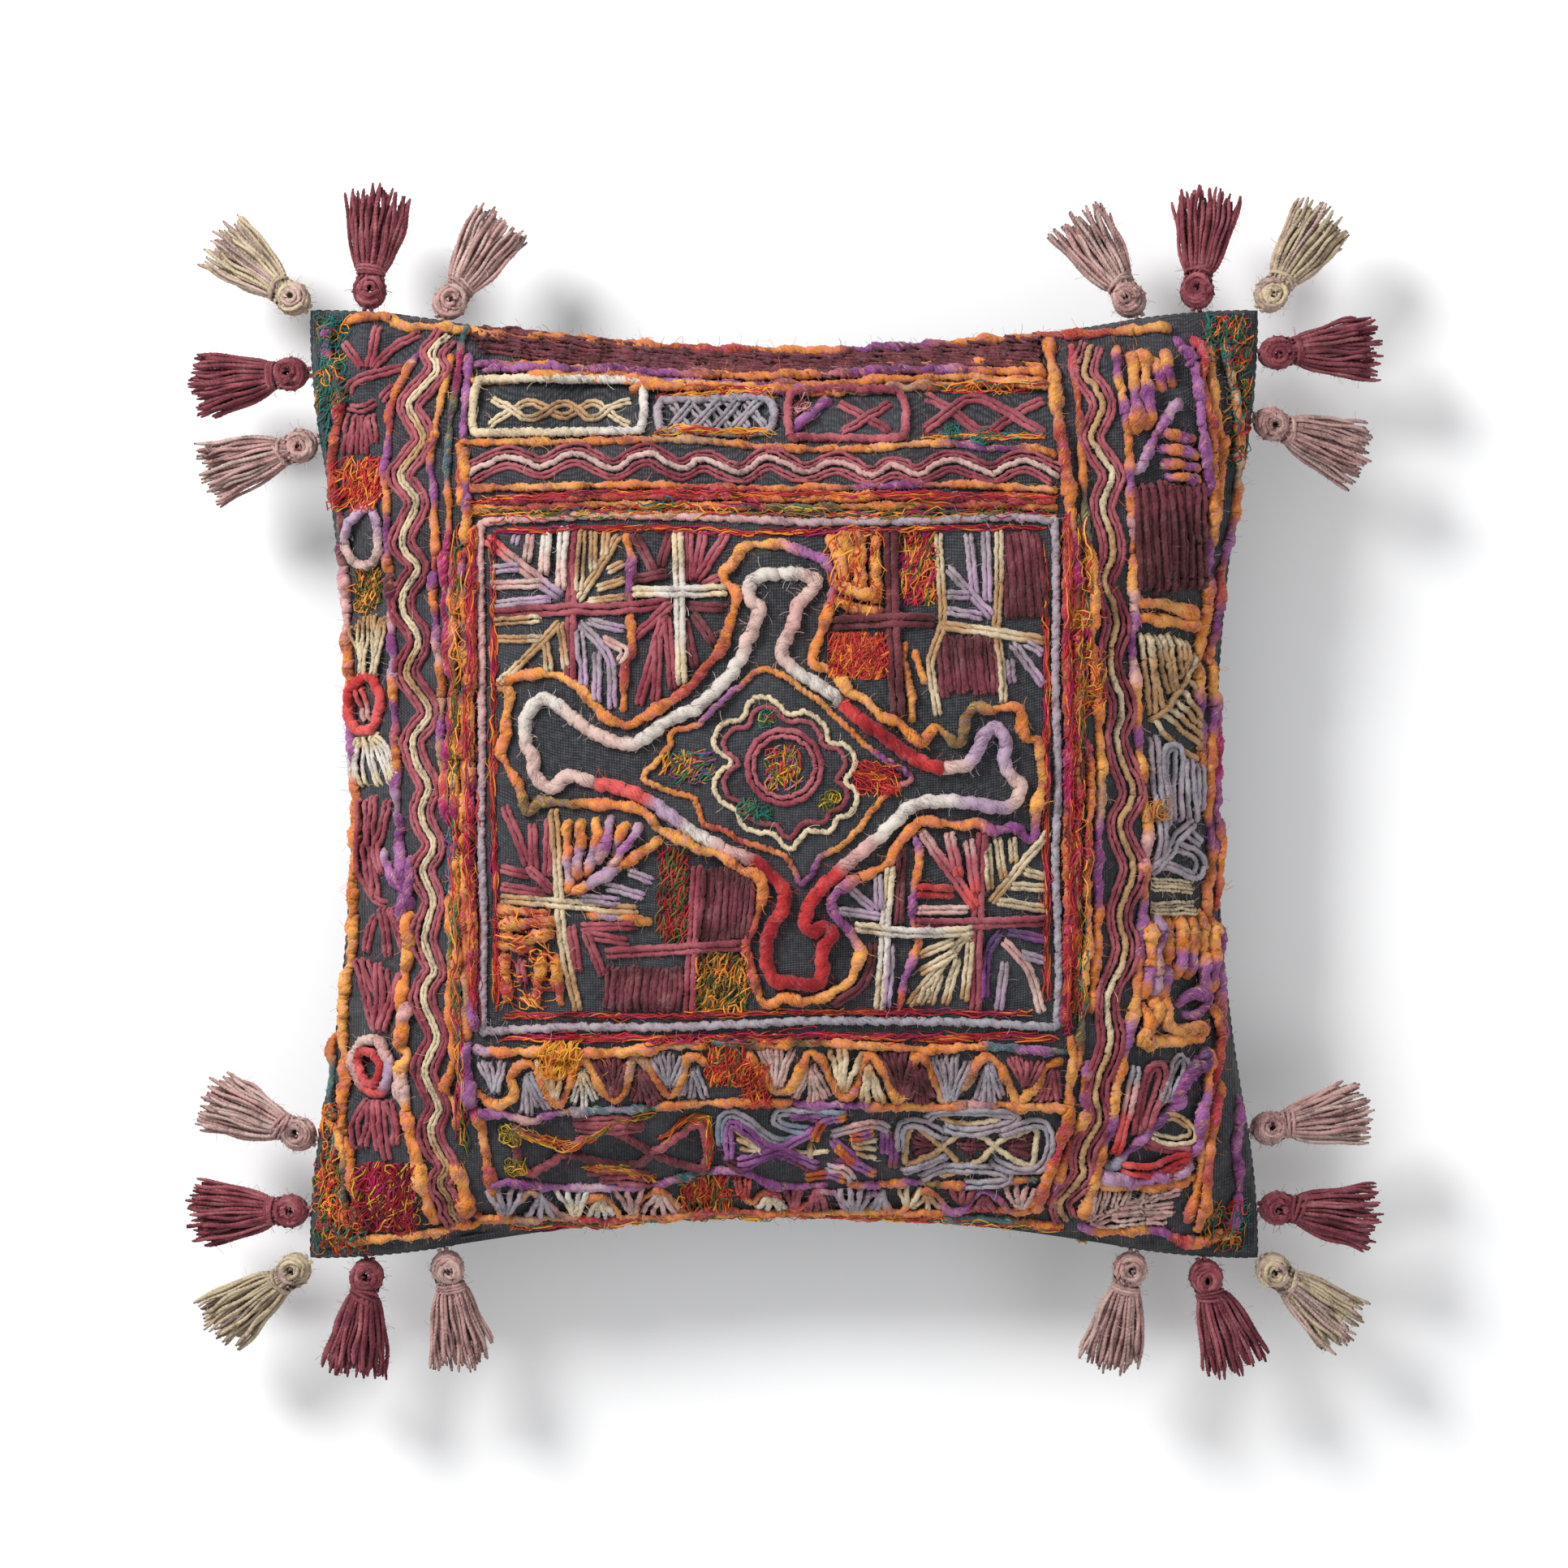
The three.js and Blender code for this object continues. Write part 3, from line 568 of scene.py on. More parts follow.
def on_face(x, y):
    """The cloth's height and slope under a point of the plan; points past the edge come in to it."""
    for _ in range(40):
        hit = face_tree.ray_cast(Vector((x, y, 0.3)), Vector((0, 0, -1)))
        if hit[0] is not None:
            return hit[0], hit[1] if hit[1].z > 0 else -hit[1]
        x, y = x * 0.994, y * 0.994
    return Vector((x, y, SEAM_Z)), Vector((0, 0, 1))


def through(points, spacing, closed=False):
    """A smooth curve through chosen points of the plan, in millimetres, as evenly spaced points in metres."""
    p = np.array(points, float) / 1000
    if closed:
        p = np.concatenate([p, p[:1]])
        ends = np.concatenate([p[-2:-1], p, p[1:2]])
    else:
        ends = np.concatenate([[2 * p[0] - p[1]], p, [2 * p[-1] - p[-2]]])
    out = []
    for a, b, c, d in zip(ends, ends[1:], ends[2:], ends[3:]):
        steps = max(2, int(np.linalg.norm(c - b) / spacing * 2))
        for t in np.arange(steps) / steps:
            out.append(0.5 * (2 * b + (c - a) * t + (2 * a - 5 * b + 4 * c - d) * t * t
                              + (3 * b - a - 3 * c + d) * t ** 3))
    out = np.array(out + [p[-1]])
    length = np.concatenate([[0], np.cumsum(np.linalg.norm(np.diff(out, axis=0), axis=1))])
    even = np.linspace(0, length[-1], max(3, int(length[-1] / spacing)))
    return np.stack([np.interp(even, length, out[:, k]) for k in (0, 1)], 1)


def dyed(names, count, rng, spread=0.10):
    """Colour along a yarn: one dye, or several that follow each other."""
    keys = np.array([COLOURS[name] for name in names.split()])
    if len(keys) > 1:
        at = np.linspace(0, 1, len(keys))
        along = np.linspace(0, 1, count)
        # each dye holds for a while, then gives way quickly to the next
        slot_at = along * (len(keys) - 1)
        low = np.floor(slot_at)
        part = np.clip((slot_at - low - 0.32) / 0.36, 0, 1)
        along = (low + part) / (len(keys) - 1)
        colour = np.stack([np.interp(along, at, keys[:, k]) for k in range(3)], 1)
    else:
        colour = np.repeat(keys, count, 0)
    return colour * (1 + rng.uniform(-spread, spread))


slub, lilac_cord = [], []


def lay(strands, names, width, *routes, closed=False, turns=150, lift=0.3, wobble=0.0003, spacing=0.0011,
        tuck=True, doubled=None):
    """Lays yarn along routes on the face, over what is stitched there. Wool goes down as two yarns."""
    if doubled is None:
        doubled = strands is not slub and strands is not lilac_cord and not closed and width > 3.3
    if doubled:
        for route in routes:
            flat = through(route, 0.004)
            ahead = np.gradient(flat, axis=0)
            ahead /= np.linalg.norm(ahead, axis=1, keepdims=True)
            apart = np.stack([-ahead[:, 1], ahead[:, 0]], 1) * width / 4000
            for way in (-1, 1):
                lay(strands, names, width * 0.60, [tuple(q) for q in (flat + apart * way) * 1000],
                    turns=turns, lift=lift, wobble=wobble * 0.6, spacing=spacing * 1.2, tuck=tuck,
                    doubled=False)
        return
    uneven, stretch = (0.13, 3.6) if strands is slub else (0.03, 2.0)
    for route in routes:
        rng = random.Random(repr(route[0]) + repr(route[-1]) + names + str(width))
        flat = through(route, spacing, closed)
        count = len(flat)
        along = np.arange(count) * spacing
        shift = np.zeros((count, 2))
        swell = np.ones(count)
        for wave in (0.011, 0.0063, 0.0037):
            for axis in (0, 1):
                phase, share = rng.uniform(0, 6.3), rng.uniform(0.3, 1)
                shift[:, axis] += wobble * np.sin(along / wave * math.tau + phase) * share
            swell += uneven * np.sin(along / (wave * stretch) * math.tau + rng.uniform(0, 6.3))
        flat = flat + shift
        radius = width / 2000 * swell
        colour = dyed(names, count, rng)
        ground, slope = zip(*(on_face(x, y) for x, y in flat))
        cell = np.clip((flat * 1000 + 260).astype(int), 3, 516)
        reach = max(1, int(round(width / 2)))
        under = np.array([pile[i - reach:i + reach + 1, j - reach:j + reach + 1].max() for i, j in cell])
        under = 0.0042 * np.tanh(under / 0.0042)
        kernel = np.ones(5) / 5
        padded = np.concatenate([[under[0]] * 2, under, [under[-1]] * 2])
        rise = np.convolve(padded, kernel, "valid") * 0.8 + radius * lift * 2
        if tuck and not closed:
            fade = np.minimum(np.arange(count), np.arange(count)[::-1]) * spacing
            rise -= radius * 1.6 * np.clip(1 - fade / (width / 1000 * 0.7), 0, 1) ** 2
        top = rise + radius * 0.7
        for (i, j), h in zip(cell, top):
            block = pile[i - reach + 1:i + reach, j - reach + 1:j + reach]
            np.maximum(block, h, out=block)
        place = np.array([g + s * float(r) for g, s, r in zip(ground, slope, rise)])
        strands.append((place, radius, colour, turns / max(width, 1.0) * 2.4))


def stitched(name, strands, material, slot, *nodes, sides=8, ply=0.28, fibres=60000.0, fibre_length=0.0036,
             body="pillow"):
    """One or more pieces from a set of strands, each small enough to handle."""
    groups, size = [[]], 0
    for strand in strands:
        size += len(strand[0]) * sides * 2
        if size > 110000:
            groups.append([])
            size = len(strand[0]) * sides * 2
        groups[-1].append(strand)
    for k, group in enumerate(groups):
        label = name if len(groups) == 1 else name + "_" + str(k + 1)
        obj = swept(label, group, material, sides=sides, ply=ply, fibres=fibres, fibre_length=fibre_length,
                    seed=k + 3)
        settle(obj, material, body, slot, *(nodes if k == 0 else ()))
    return groups


wool = wool_material("embroidery_wool")
slub_wool = wool_material("slub_silk", mottle=0.6, rough=0.85, flecks=0.8)
BORDER = [(-139, -111), (-138.5, -60), (-139.5, -20), (-139, 20), (-139.5, 60), (-140, 90), (-140, 117),
          (-137, 121), (-120, 122.5), (-80, 124), (-30, 122.5), (10, 120.5), (60, 121), (100, 123),
          (121, 122), (125, 118), (125.5, 80), (125, 40), (126, 0), (125, -40), (126.5, -80), (126, -107),
          (123, -112), (90, -110), (50, -109), (10, -109), (-20, -110.5), (-60, -112), (-100, -112),
          (-135, -114)]
lay(lilac_cord, "lilac_grey pink lilac_grey grey lilac_grey", 4.2, BORDER, closed=True, lift=0.3)
stitched("border_wool", lilac_cord, wool, "lilac_wool", "border_cord")


# ----------------------------------------------------------------------------------------------------------
# Couched cords in the middle: a four-armed medallion in thick two-ply wool, a slub diamond, a scalloped
# flower and a ring, each held down along its own route and worked from the middle outwards.
# ----------------------------------------------------------------------------------------------------------
rose, pink, cream, lilac_wool, maroon, silk = [], [], [], [], [], []
RED_ARM = [(-86, 0), (-78, -1), (-67, -5), (-57, -11), (-44, -21), (-35, -26), (-23, -32), (-13, -36),
           (-6, -42), (0, -49), (-1, -58), (-6, -66), (-8, -76), (-7, -84), (-4, -90), (4, -91), (14, -92),
           (18, -86), (17, -80), (19, -73), (22, -68), (17, -66), (13, -68), (10, -65), (10, -60),
           (14, -52), (22, -43), (33, -33)]
PALE_LEFT = [(-2, 96), (-10, 96), (-16, 91), (-15, 84), (-11, 81), (-13, 75), (-17, 65), (-19, 59),
             (-25, 50), (-33, 41), (-42, 34), (-52, 30), (-59, 25), (-65, 20), (-72, 18), (-80, 20),
             (-90, 25), (-98, 31), (-105, 37), (-111, 39), (-117, 34), (-119, 25), (-118, 17), (-115, 12),
             (-115, 6), (-112, 1), (-107, -2), (-103, 1), (-99, 4), (-94, 3), (-87, 0)]
PALE_RIGHT = [(33, -33), (43, -25), (51, -17), (59, -10), (68, -8), (80, -8), (92, -10), (101, -11),
              (107, -7), (109, -1), (104, 4), (101, 11), (102, 19), (98, 26), (94, 25), (90, 19), (87, 12),
              (82, 8), (73, 7)]
RED_RIGHT = [(72, 7), (63, 10), (53, 16), (43, 24), (33, 31), (26, 38)]
PALE_TOP = [(26, 38), (16, 45), (6, 51), (0, 57), (-1, 63), (3, 71), (7, 83), (13, 89), (15, 93), (9, 96),
            (-1, 97)]
medallion = []
lay(medallion, "white pale_pink white white pale_pink white pale_pink pale_pink", 6.6, PALE_LEFT,
    doubled=False)
lay(medallion, "coral coral lilac white pink crimson red crimson red crimson red crimson red red pink", 6.8,
    RED_ARM, doubled=False)
lay(medallion, "pink white white lilac pale_pink lilac lilac pale_pink", 6.6, PALE_RIGHT, doubled=False)
lay(medallion, "red crimson red", 7.0, RED_RIGHT, doubled=False)
lay(medallion, "white white pale_pink pink pale_pink white", 6.6, PALE_TOP, doubled=False)
stitched("medallion_wool", medallion, wool, "medallion_wool", "medallion_cord", sides=12, ply=0.16,
         fibres=90000.0)

diamond, flower, ring = [], [], []
DIAMOND = [(-10, 53), (0, 49), (8, 43), (16, 38), (22, 32), (30, 25), (37, 18), (49, 10), (58, 4), (57, 1),
           (49, -3), (43, -9), (37, -17), (32, -23), (24, -30), (17, -33), (14, -39), (8, -46), (4, -38),
           (0, -33), (-10, -29), (-20, -26), (-28, -21), (-37, -18), (-41, -7), (-51, -4), (-61, 0),
           (-65, 3), (-59, 10), (-53, 17), (-51, 24), (-40, 27), (-35, 32), (-25, 41), (-18, 47)]
FLOWER = [(-14, 39), (-9, 40), (-4, 38), (2, 32), (9, 33), (14, 31), (19, 26), (21, 19), (28, 18), (32, 13),
          (32, 7), (28, 1), (33, -3), (33, -9), (30, -14), (24, -16), (23, -20), (19, -22), (10, -22),
          (3, -30), (-5, -23), (-13, -22), (-19, -19), (-22, -12), (-29, -8), (-32, -2), (-30, 5),
          (-24, 10), (-31, 16), (-32, 22), (-27, 28), (-19, 30), (-17, 36)]
lay(diamond, "orange amber orange purple orange amber purple orange rust orange amber orange violet orange",
    3.2, DIAMOND, closed=True, turns=190)
lay(flower, "cream", 2.8, FLOWER, closed=True)
INNER = [(x * 0.86, 7 + (y - 7) * 0.86) for x, y in FLOWER]
lay(flower, "rose deep_rose rose", 2.6, INNER, closed=True)
CIRCLE = [(17 * math.cos(a * math.tau / 14), 8 + 17 * math.sin(a * math.tau / 14)) for a in range(14)]
lay(ring, "deep_rose rose deep_rose rose", 3.0, CIRCLE, closed=True)
lay(ring, "rose", 2.4, [(x * 0.83, 8 + (y - 8) * 0.83) for x, y in CIRCLE], closed=True)
stitched("diamond_slub", diamond, slub_wool, "slub_silk", "diamond_cord")
stitched("flower_wool", flower, wool, "cream_wool", "flower_cord")
stitched("ring_wool", ring, wool, "rose_wool", "ring_cord")


# ----------------------------------------------------------------------------------------------------------
# Slub lines. Space-dyed silk slub, thick and thin, runs in lines round the borders and outlines the
# medallion.
# ----------------------------------------------------------------------------------------------------------
OUTLINE = [(-131, 45), (-125, 49), (-115, 51), (-108, 51), (-99, 48), (-92, 42), (-86, 35), (-79, 29),
           (-71, 27), (-66, 30), (-60, 33), (-49, 40), (-42, 46), (-35, 55), (-29, 62), (-24, 76),
           (-22, 87), (-27, 93), (-28, 97), (-23, 102), (-18, 109), (-10, 110), (0, 110), (7, 107),
           (16, 104), (21, 99), (23, 92), (21, 81), (17, 69), (13, 59), (14, 54), (21, 52), (27, 46),
           (31, 41), (37, 38), (43, 31), (51, 28), (60, 20), (64, 19), (70, 26), (78, 19), (82, 21),
           (84, 31), (89, 36), (95, 34), (104, 36), (109, 33), (109, 26), (112, 21), (117, 20), (118, 10),
           (119, 0), (116, -10), (116, -17), (114, -26), (105, -20), (96, -22), (90, -18), (80, -19),
           (67, -17), (61, -18), (53, -27), (47, -37), (30, -45), (22, -52), (23, -60), (30, -68),
           (35, -77), (33, -84), (30, -91), (21, -96), (9, -100), (0, -98), (-8, -102), (-13, -93),
           (-16, -82), (-18, -73), (-14, -64), (-10, -52), (-11, -43), (-20, -39), (-29, -32), (-39, -30),
           (-47, -25), (-57, -20), (-63, -13), (-71, -10), (-90, -9), (-100, -9), (-111, -8), (-118, -13),
           (-120, -7), (-122, 0), (-130, 14), (-128, 23), (-128, 31), (-126, 42)]
lay(slub,
    "orange amber orange rust orange amber violet orange amber orange olive orange amber purple orange orange "
    "purple amber orange rust orange amber orange olive orange amber", 5.2, OUTLINE, closed=True, turns=190)

LEFT_EDGE = [(-213, 215), (-214, 200), (-208, 190), (-207, 175), (-208, 165), (-210, 150), (-209, 140),
             (-207, 130), (-205, 120), (-205, 105), (-204, 90), (-203, 70), (-202, 50), (-201, 30),
             (-200, 10), (-199, -8), (-199, -25), (-200, -45), (-200, -65), (-201, -80), (-204, -97),
             (-205, -110), (-205, -122), (-204, -135), (-205, -150), (-204, -165), (-202, -178),
             (-200, -188), (-199, -197), (-197, -209)]
lay(slub, "purple crimson rust maroon pink orange violet orange orange amber amber orange orange orange", 5.8,
    LEFT_EDGE, turns=190)
lay(slub, "orange teal amber green orange", 4.2, [(-209, -118), (-210, -132), (-210, -142), (-209, -155),
        (-206, -166), (-203, -180), (-204, -192), (-205, -202), (-202, -209)], turns=190)
lay(slub, "teal green", 3.5, [(-207, -162), (-208, -170), (-208, -178)])
lay(slub, "orange amber orange orange rust orange purple orange rust amber", 5.0,
    [(-205, 216), (-195, 218), (-185, 217), (-178, 213), (-165, 213), (-150, 211), (-140, 209), (-125, 208),
     (-98, 207), (-70, 206), (-40, 205), (0, 204), (40, 204), (80, 205), (120, 208), (150, 210), (180, 213)])
lay(slub, "purple orange rust purple orange purple orange", 4.4,
    [(-168, 202), (-173, 196), (-176, 190), (-180, 182), (-183, 175), (-183, 165), (-184, 155), (-185, 145),
     (-184, 130), (-184, 108), (-183, 98)], turns=190)
lay(slub, "brown maroon pink purple lilac orange purple rose orange purple lilac purple", 5.0,
    [(-183, 98), (-182, 85), (-182, 70), (-181, 60), (-181, 50), (-181, 38), (-180, 28), (-180, 15),
     (-179, 5), (-180, -3), (-179, -14), (-178, -20)], turns=190)
lay(slub, "purple violet purple violet", 6.6, [(-178, -20), (-178, -30), (-176, -42), (-176, -55),
        (-177, -65)])
lay(slub, "lilac violet purple", 5.8, [(-188, -32), (-183, -38), (-178, -46), (-174, -52)])
lay(slub, "violet purple", 5.5, [(-173, -35), (-172, -45), (-173, -56)])
lay(slub, "orange amber orange orange", 6.6, [(-173, -61), (-173, -75), (-175, -86), (-176, -97),
        (-178, -106)])
lay(slub, "pink orange amber pale_pink orange orange amber orange orange", 7.1,
    [(-174, -104), (-176, -113), (-177, -120), (-174, -127), (-177, -134), (-176, -145), (-174, -156),
     (-172, -166), (-170, -176), (-168, -186), (-165, -196), (-162, -205)], turns=120)
lay(slub, "orange amber orange purple orange rust", 4.2, [(-155, 200), (-157, 190), (-160, 175), (-163, 160),
    (-164, 148), (-162, 136), (-162, 125), (-161, 110), (-162, 98)])
lay(slub, "purple orange purple pink orange tan purple tan orange tan", 4.8,
    [(-162, 98), (-162, 88), (-161, 78), (-160, 66), (-159, 58), (-158, 48), (-158, 38), (-158, 28),
     (-158, 15), (-157, 0), (-156, -12)])
lay(slub, "teal magenta green teal orange magenta", 3.7, [(-149, 213), (-151, 200), (-153, 180), (-155, 165),
    (-156, 145), (-155, 125), (-156, 108)])
lay(slub, "purple violet", 4.4, [(-147, 200), (-148, 180), (-149, 160)])
lay(slub, "orange rust orange", 4.4, [(-150, 158), (-150, 145), (-149, 130)])
lay(slub, "magenta magenta magenta crimson magenta magenta magenta red magenta teal", 6.0,
    [(-157, 106), (-156, 90), (-155, 75), (-154, 60), (-152, 45), (-152, 35), (-153, 20), (-154, 5),
     (-155, -6), (-153, -16), (-153, -28)])
lay(slub, "rust violet orange brown amber brown orange rust orange amber orange", 6.0,
    [(-149, 108), (-149, 95), (-147, 82), (-147, 70), (-146, 58), (-146, 42), (-146, 30), (-147, 15),
     (-147, 0), (-147, -12), (-147, -22)])
lay(slub, "orange amber rust orange tan orange", 5.8, [(-147, -24), (-147, -50), (-147, -70), (-147, -88),
    (-146, -100), (-147, -118)])
lay(slub, "teal green orange olive orange orange orange orange", 4.8, [(-153, -30), (-152, -45), (-154, -60),
    (-153, -78), (-154, -95), (-154, -112), (-153, -130), (-156, -137)])
lay(slub, "orange amber orange", 5.3, [(-156, -137), (-157, -142), (-151, -150), (-152, -160)])
lay(slub, "violet purple violet", 7.3, [(-147, -121), (-147, -130), (-146, -140), (-145, -149)])
lay(slub, "magenta orange amber orange rust orange violet", 5.5, [(-143, -150), (-140, -160), (-138, -172),
    (-136, -184), (-134, -195)])
lay(slub, "orange amber orange rust", 8.7, [(-155, -175), (-150, -183), (-148, -192), (-147, -200)])
lay(slub, "orange amber orange rust orange amber rust orange teal orange", 4.4,
    [(-209, -204), (-205, -210), (-195, -212), (-180, -211), (-165, -209), (-158, -206), (-145, -204),
     (-130, -202), (-110, -204), (-90, -204), (-70, -203), (-40, -201), (-10, -200), (15, -199), (40, -201),
     (70, -202), (100, -203), (130, -206)])
lay(slub, "orange tan red orange rust orange amber orange red orange", 3.7,
    [(-142, -200), (-120, -201), (-90, -201), (-60, -201), (-30, -198), (0, -199), (30, -198), (60, -199),
     (90, -198), (118, -198)])
# top band
lay(slub, "purple orange amber purple orange orange purple orange amber orange orange", 4.0,
    [(-145, 195), (-125, 195), (-100, 193), (-75, 192), (-50, 191), (0, 191), (40, 193), (60, 194), (80, 195),
     (100, 196), (121, 193)])
lay(slub, "orange orange violet purple orange orange amber orange", 4.8, [(-120, 190), (-95, 189), (-70, 188),
    (-50, 186), (-20, 185), (0, 185), (20, 185), (40, 187), (60, 188), (80, 189), (100, 188), (121, 186)])
lay(slub, "orange amber orange tan orange orange amber purple orange", 4.0,
    [(-150, 158), (-100, 158), (-60, 159), (-40, 159), (-20, 157), (0, 155), (40, 155), (60, 157),
     (80, 157), (95, 155), (115, 155), (127, 152)])
lay(slub, "orange amber orange rust orange purple orange amber", 4.2, [(-147, 137), (-110, 137), (-70, 138),
    (-30, 136), (10, 136), (45, 137), (80, 138), (126, 136)])
lay(slub, "orange rust amber orange olive orange rust orange", 4.0, [(-147, 127), (-110, 128), (-70, 129),
    (-30, 128), (10, 127), (45, 128), (80, 129), (126, 128)])
# right columns
lay(slub, "orange amber rust orange magenta orange", 6.4, [(124, 206), (126, 185), (127, 170), (129, 150),
        (132, 132), (133, 118), (134, 100), (134, 86), (135, 76)])
lay(slub, "red rust orange green rust orange", 4.2, [(134, 205), (137, 175), (138, 150), (139, 130),
        (140, 105), (139, 85), (138, 68)])
lay(slub, "orange amber orange orange orange amber tan purple purple orange orange orange", 5.3,
    [(141, 110), (142, 85), (141, 70), (143, 55), (144, 40), (145, 25), (146, 10), (146, -5), (145, -20),
     (144, -38), (145, -55), (144, -72), (143, -90), (142, -105)])
lay(slub, "orange red orange amber red orange tan orange red orange", 4.4, [(136, 70), (135, 50), (134, 25),
    (135, 5), (135, -15), (134, -30), (134, -50), (134, -70), (135, -90), (134, -105)])
lay(slub, "rust orange red orange amber green orange", 4.2,
    [(140, 20), (141, 0), (140, -20), (139, -40), (140, -60), (139, -80), (138, -100), (137, -118),
     (135, -134)])
lay(slub, "orange amber orange", 5.0, [(133, -117), (133, -130), (132, -140), (132, -149)])
lay(slub, "violet orange purple amber orange rust orange violet orange", 5.5,
    [(140, -130), (139, -145), (141, -150), (137, -158), (133, -168), (129, -178), (127, -186),
     (125, -196)])
lay(slub, "orange rust red orange rust orange", 6.0, [(132, -150), (130, -160), (127, -170), (124, -178),
        (120, -189), (118, -198)])
lay(slub, "orange purple amber purple orange orange violet orange pink orange", 4.8, [(155, 204), (155, 190),
    (158, 175), (160, 155), (160, 140), (161, 120), (162, 108)])
lay(slub, "orange amber pink violet purple pink amber orange purple amber orange", 5.5,
    [(162, 106), (161, 95), (162, 85), (161, 75), (160, 66), (161, 58), (162, 48), (163, 38), (163, 28),
     (164, 18), (165, 8), (166, 0)], turns=190)
lay(slub,
    "orange amber pink orange violet purple orange amber violet orange amber purple orange amber orange",
    6.0, [(166, -2), (167, -12), (168, -24), (166, -36), (166, -46), (166, -56), (165, -66), (164, -76),
          (163, -88), (163, -98), (160, -110), (158, -120), (156, -130), (153, -142), (152, -150),
          (151, -160), (147, -170), (144, -182), (142, -192), (139, -202)], turns=190)
lay(slub, "orange amber orange orange purple orange amber purple orange", 6.0,
    [(197, 205), (201, 170), (203, 150), (200, 130), (197, 110), (197, 95), (196, 80), (194, 70), (192, 58),
     (192, 45), (193, 32), (194, 18), (194, 5)])
lay(slub, "red rust orange amber", 5.5, [(192, 208), (194, 180), (197, 160), (197, 130), (198, 112)])
lay(slub, "purple violet purple", 5.3, [(183, 208), (190, 190), (192, 170), (194, 150), (196, 135)])
lay(slub, "purple cream orange cream orange violet rust purple orange", 5.0,
    [(206, 205), (209, 190), (210, 178), (212, 168), (212, 150), (211, 135), (208, 118), (204, 102),
     (201, 88), (199, 72), (198, 58)], turns=190)
lay(slub, "orange amber purple orange orange orange purple orange orange orange", 5.8, [(196, 60), (198, 46),
    (198, 34), (197, 20), (197, 0), (197, -14), (199, -26), (198, -40), (196, -54), (199, -66)])
lay(slub, "purple magenta purple orange rust", 4.4, [(200, 40), (200, 26), (200, 8), (200, -10), (202, -28),
    (201, -44), (202, -58)])
lay(slub, "purple purple violet rose purple", 5.8, [(202, -66), (203, -80), (203, -95), (203, -108),
        (204, -120)])
lay(slub, "orange rust red orange amber orange rust", 5.3, [(199, -105), (201, -120), (201, -134),
        (198, -145), (196, -160), (195, -175), (192, -190), (188, -204)])
lay(slub, "orange red orange rust orange orange", 5.3, [(202, -138), (199, -150), (198, -166), (197, -182),
    (195, -196), (192, -208)])
lay(slub, "orange orange violet purple violet", 5.5, [(197, -125), (195, -140), (193, -150), (192, -160),
    (190, -172)])
lay(slub, "purple violet purple purple violet", 5.3, [(212, -145), (211, -160), (210, -170), (212, -180),
    (212, -190), (211, -200), (208, -208)])
lay(slub, "violet orange orange amber purple red orange amber orange", 5.8,
    [(138, -206), (150, -207), (165, -207), (176, -208), (184, -212), (195, -212), (204, -210),
     (211, -207)])
# orange panels of the right column
lay(slub, "orange amber orange", 6.6, [(192, 74), (176, 76), (163, 78)],
    [(163, 85), (176, 84), (186, 81), (191, 78)])
lay(slub, "orange amber purple orange", 6.8, [(172, 198), (174, 190), (176, 184)],
    [(178, 201), (179, 192), (181, 185)], [(162, 200), (163, 182), (163, 165)],
    [(167, 200), (168, 182), (169, 166)])
lay(slub, "lilac violet lilac", 5.3, [(184, 178), (179, 172), (172, 162), (167, 150), (163, 145)])
lay(slub, "purple orange purple orange", 5.5, [(174, 163), (190, 160)], [(175, 156), (191, 153)],
    [(176, 149), (192, 147)], [(178, 143), (192, 141)])
lay(slub, "orange amber orange violet orange", 7.1, [(167, -64), (168, -80), (166, -98)],
    [(178, -62), (177, -80), (175, -100)], [(183, -62), (182, -75), (182, -88)],
    [(188, -62), (187, -76), (187, -90)], [(193, -61), (192, -80), (194, -98)],
    [(198, -64), (197, -80), (198, -96)])
lay(slub, "lilac violet pink lilac", 6.4, [(172, -62), (173, -72), (170, -85), (171, -97)])
lay(slub, "violet purple violet", 6.0, [(183, -103), (187, -98), (193, -99), (195, -104), (191, -108),
                                        (185, -107)])
lay(slub, "orange amber orange", 7.1, [(165, -103), (168, -112), (165, -119), (180, -119), (194, -118)],
    [(176, -100), (175, -110), (180, -114), (195, -114)], [(171, -101), (170, -112)])
lay(slub, "amber orange", 5.3, [(147, -186), (160, -187), (175, -187), (186, -186), (191, -183)])
lay(slub, "lilac violet lilac", 6.6, [(147, -182), (160, -183), (172, -182), (182, -180), (188, -178)])
lay(slub, "blue_grey violet aubergine violet", 5.8, [(151, -178), (160, -170), (168, -162), (175, -155),
        (186, -146)])
lay(slub, "aubergine purple", 6.4, [(196, -125), (190, -132), (185, -140), (180, -148)],
    [(191, -128), (186, -137), (182, -143)])

# fuller rows between the waves and the border cord
lay(slub, "orange magenta rust orange amber magenta crimson orange rust violet", 5.0,
    [(-143, 118), (-143, 90), (-143, 60), (-143, 30), (-143, 0), (-143, -30), (-143, -60), (-143, -90),
     (-143, -112)])
lay(slub, "rust orange crimson orange amber magenta", 4.8, [(-152, 108), (-151, 70), (-150, 35), (-150, 0),
        (-150, -20)])
lay(slub, "amber orange green orange rust orange", 4.8, [(-150, -28), (-150, -60), (-150, -90), (-150, -118)])
lay(slub, "crimson red rust magenta orange red crimson", 4.8,
    [(130, 118), (130, 80), (130, 40), (130, 0), (130, -40), (130, -80), (129, -110)])
lay(slub, "crimson rust red orange crimson red", 4.5, [(-135, 131), (-90, 132), (-40, 132), (10, 131),
        (60, 132), (124, 131)])
lay(slub, "amber orange yellow orange amber orange purple orange", 4.5, [(-146, 187), (-110, 187), (-60, 185),
    (-20, 182), (20, 181)])
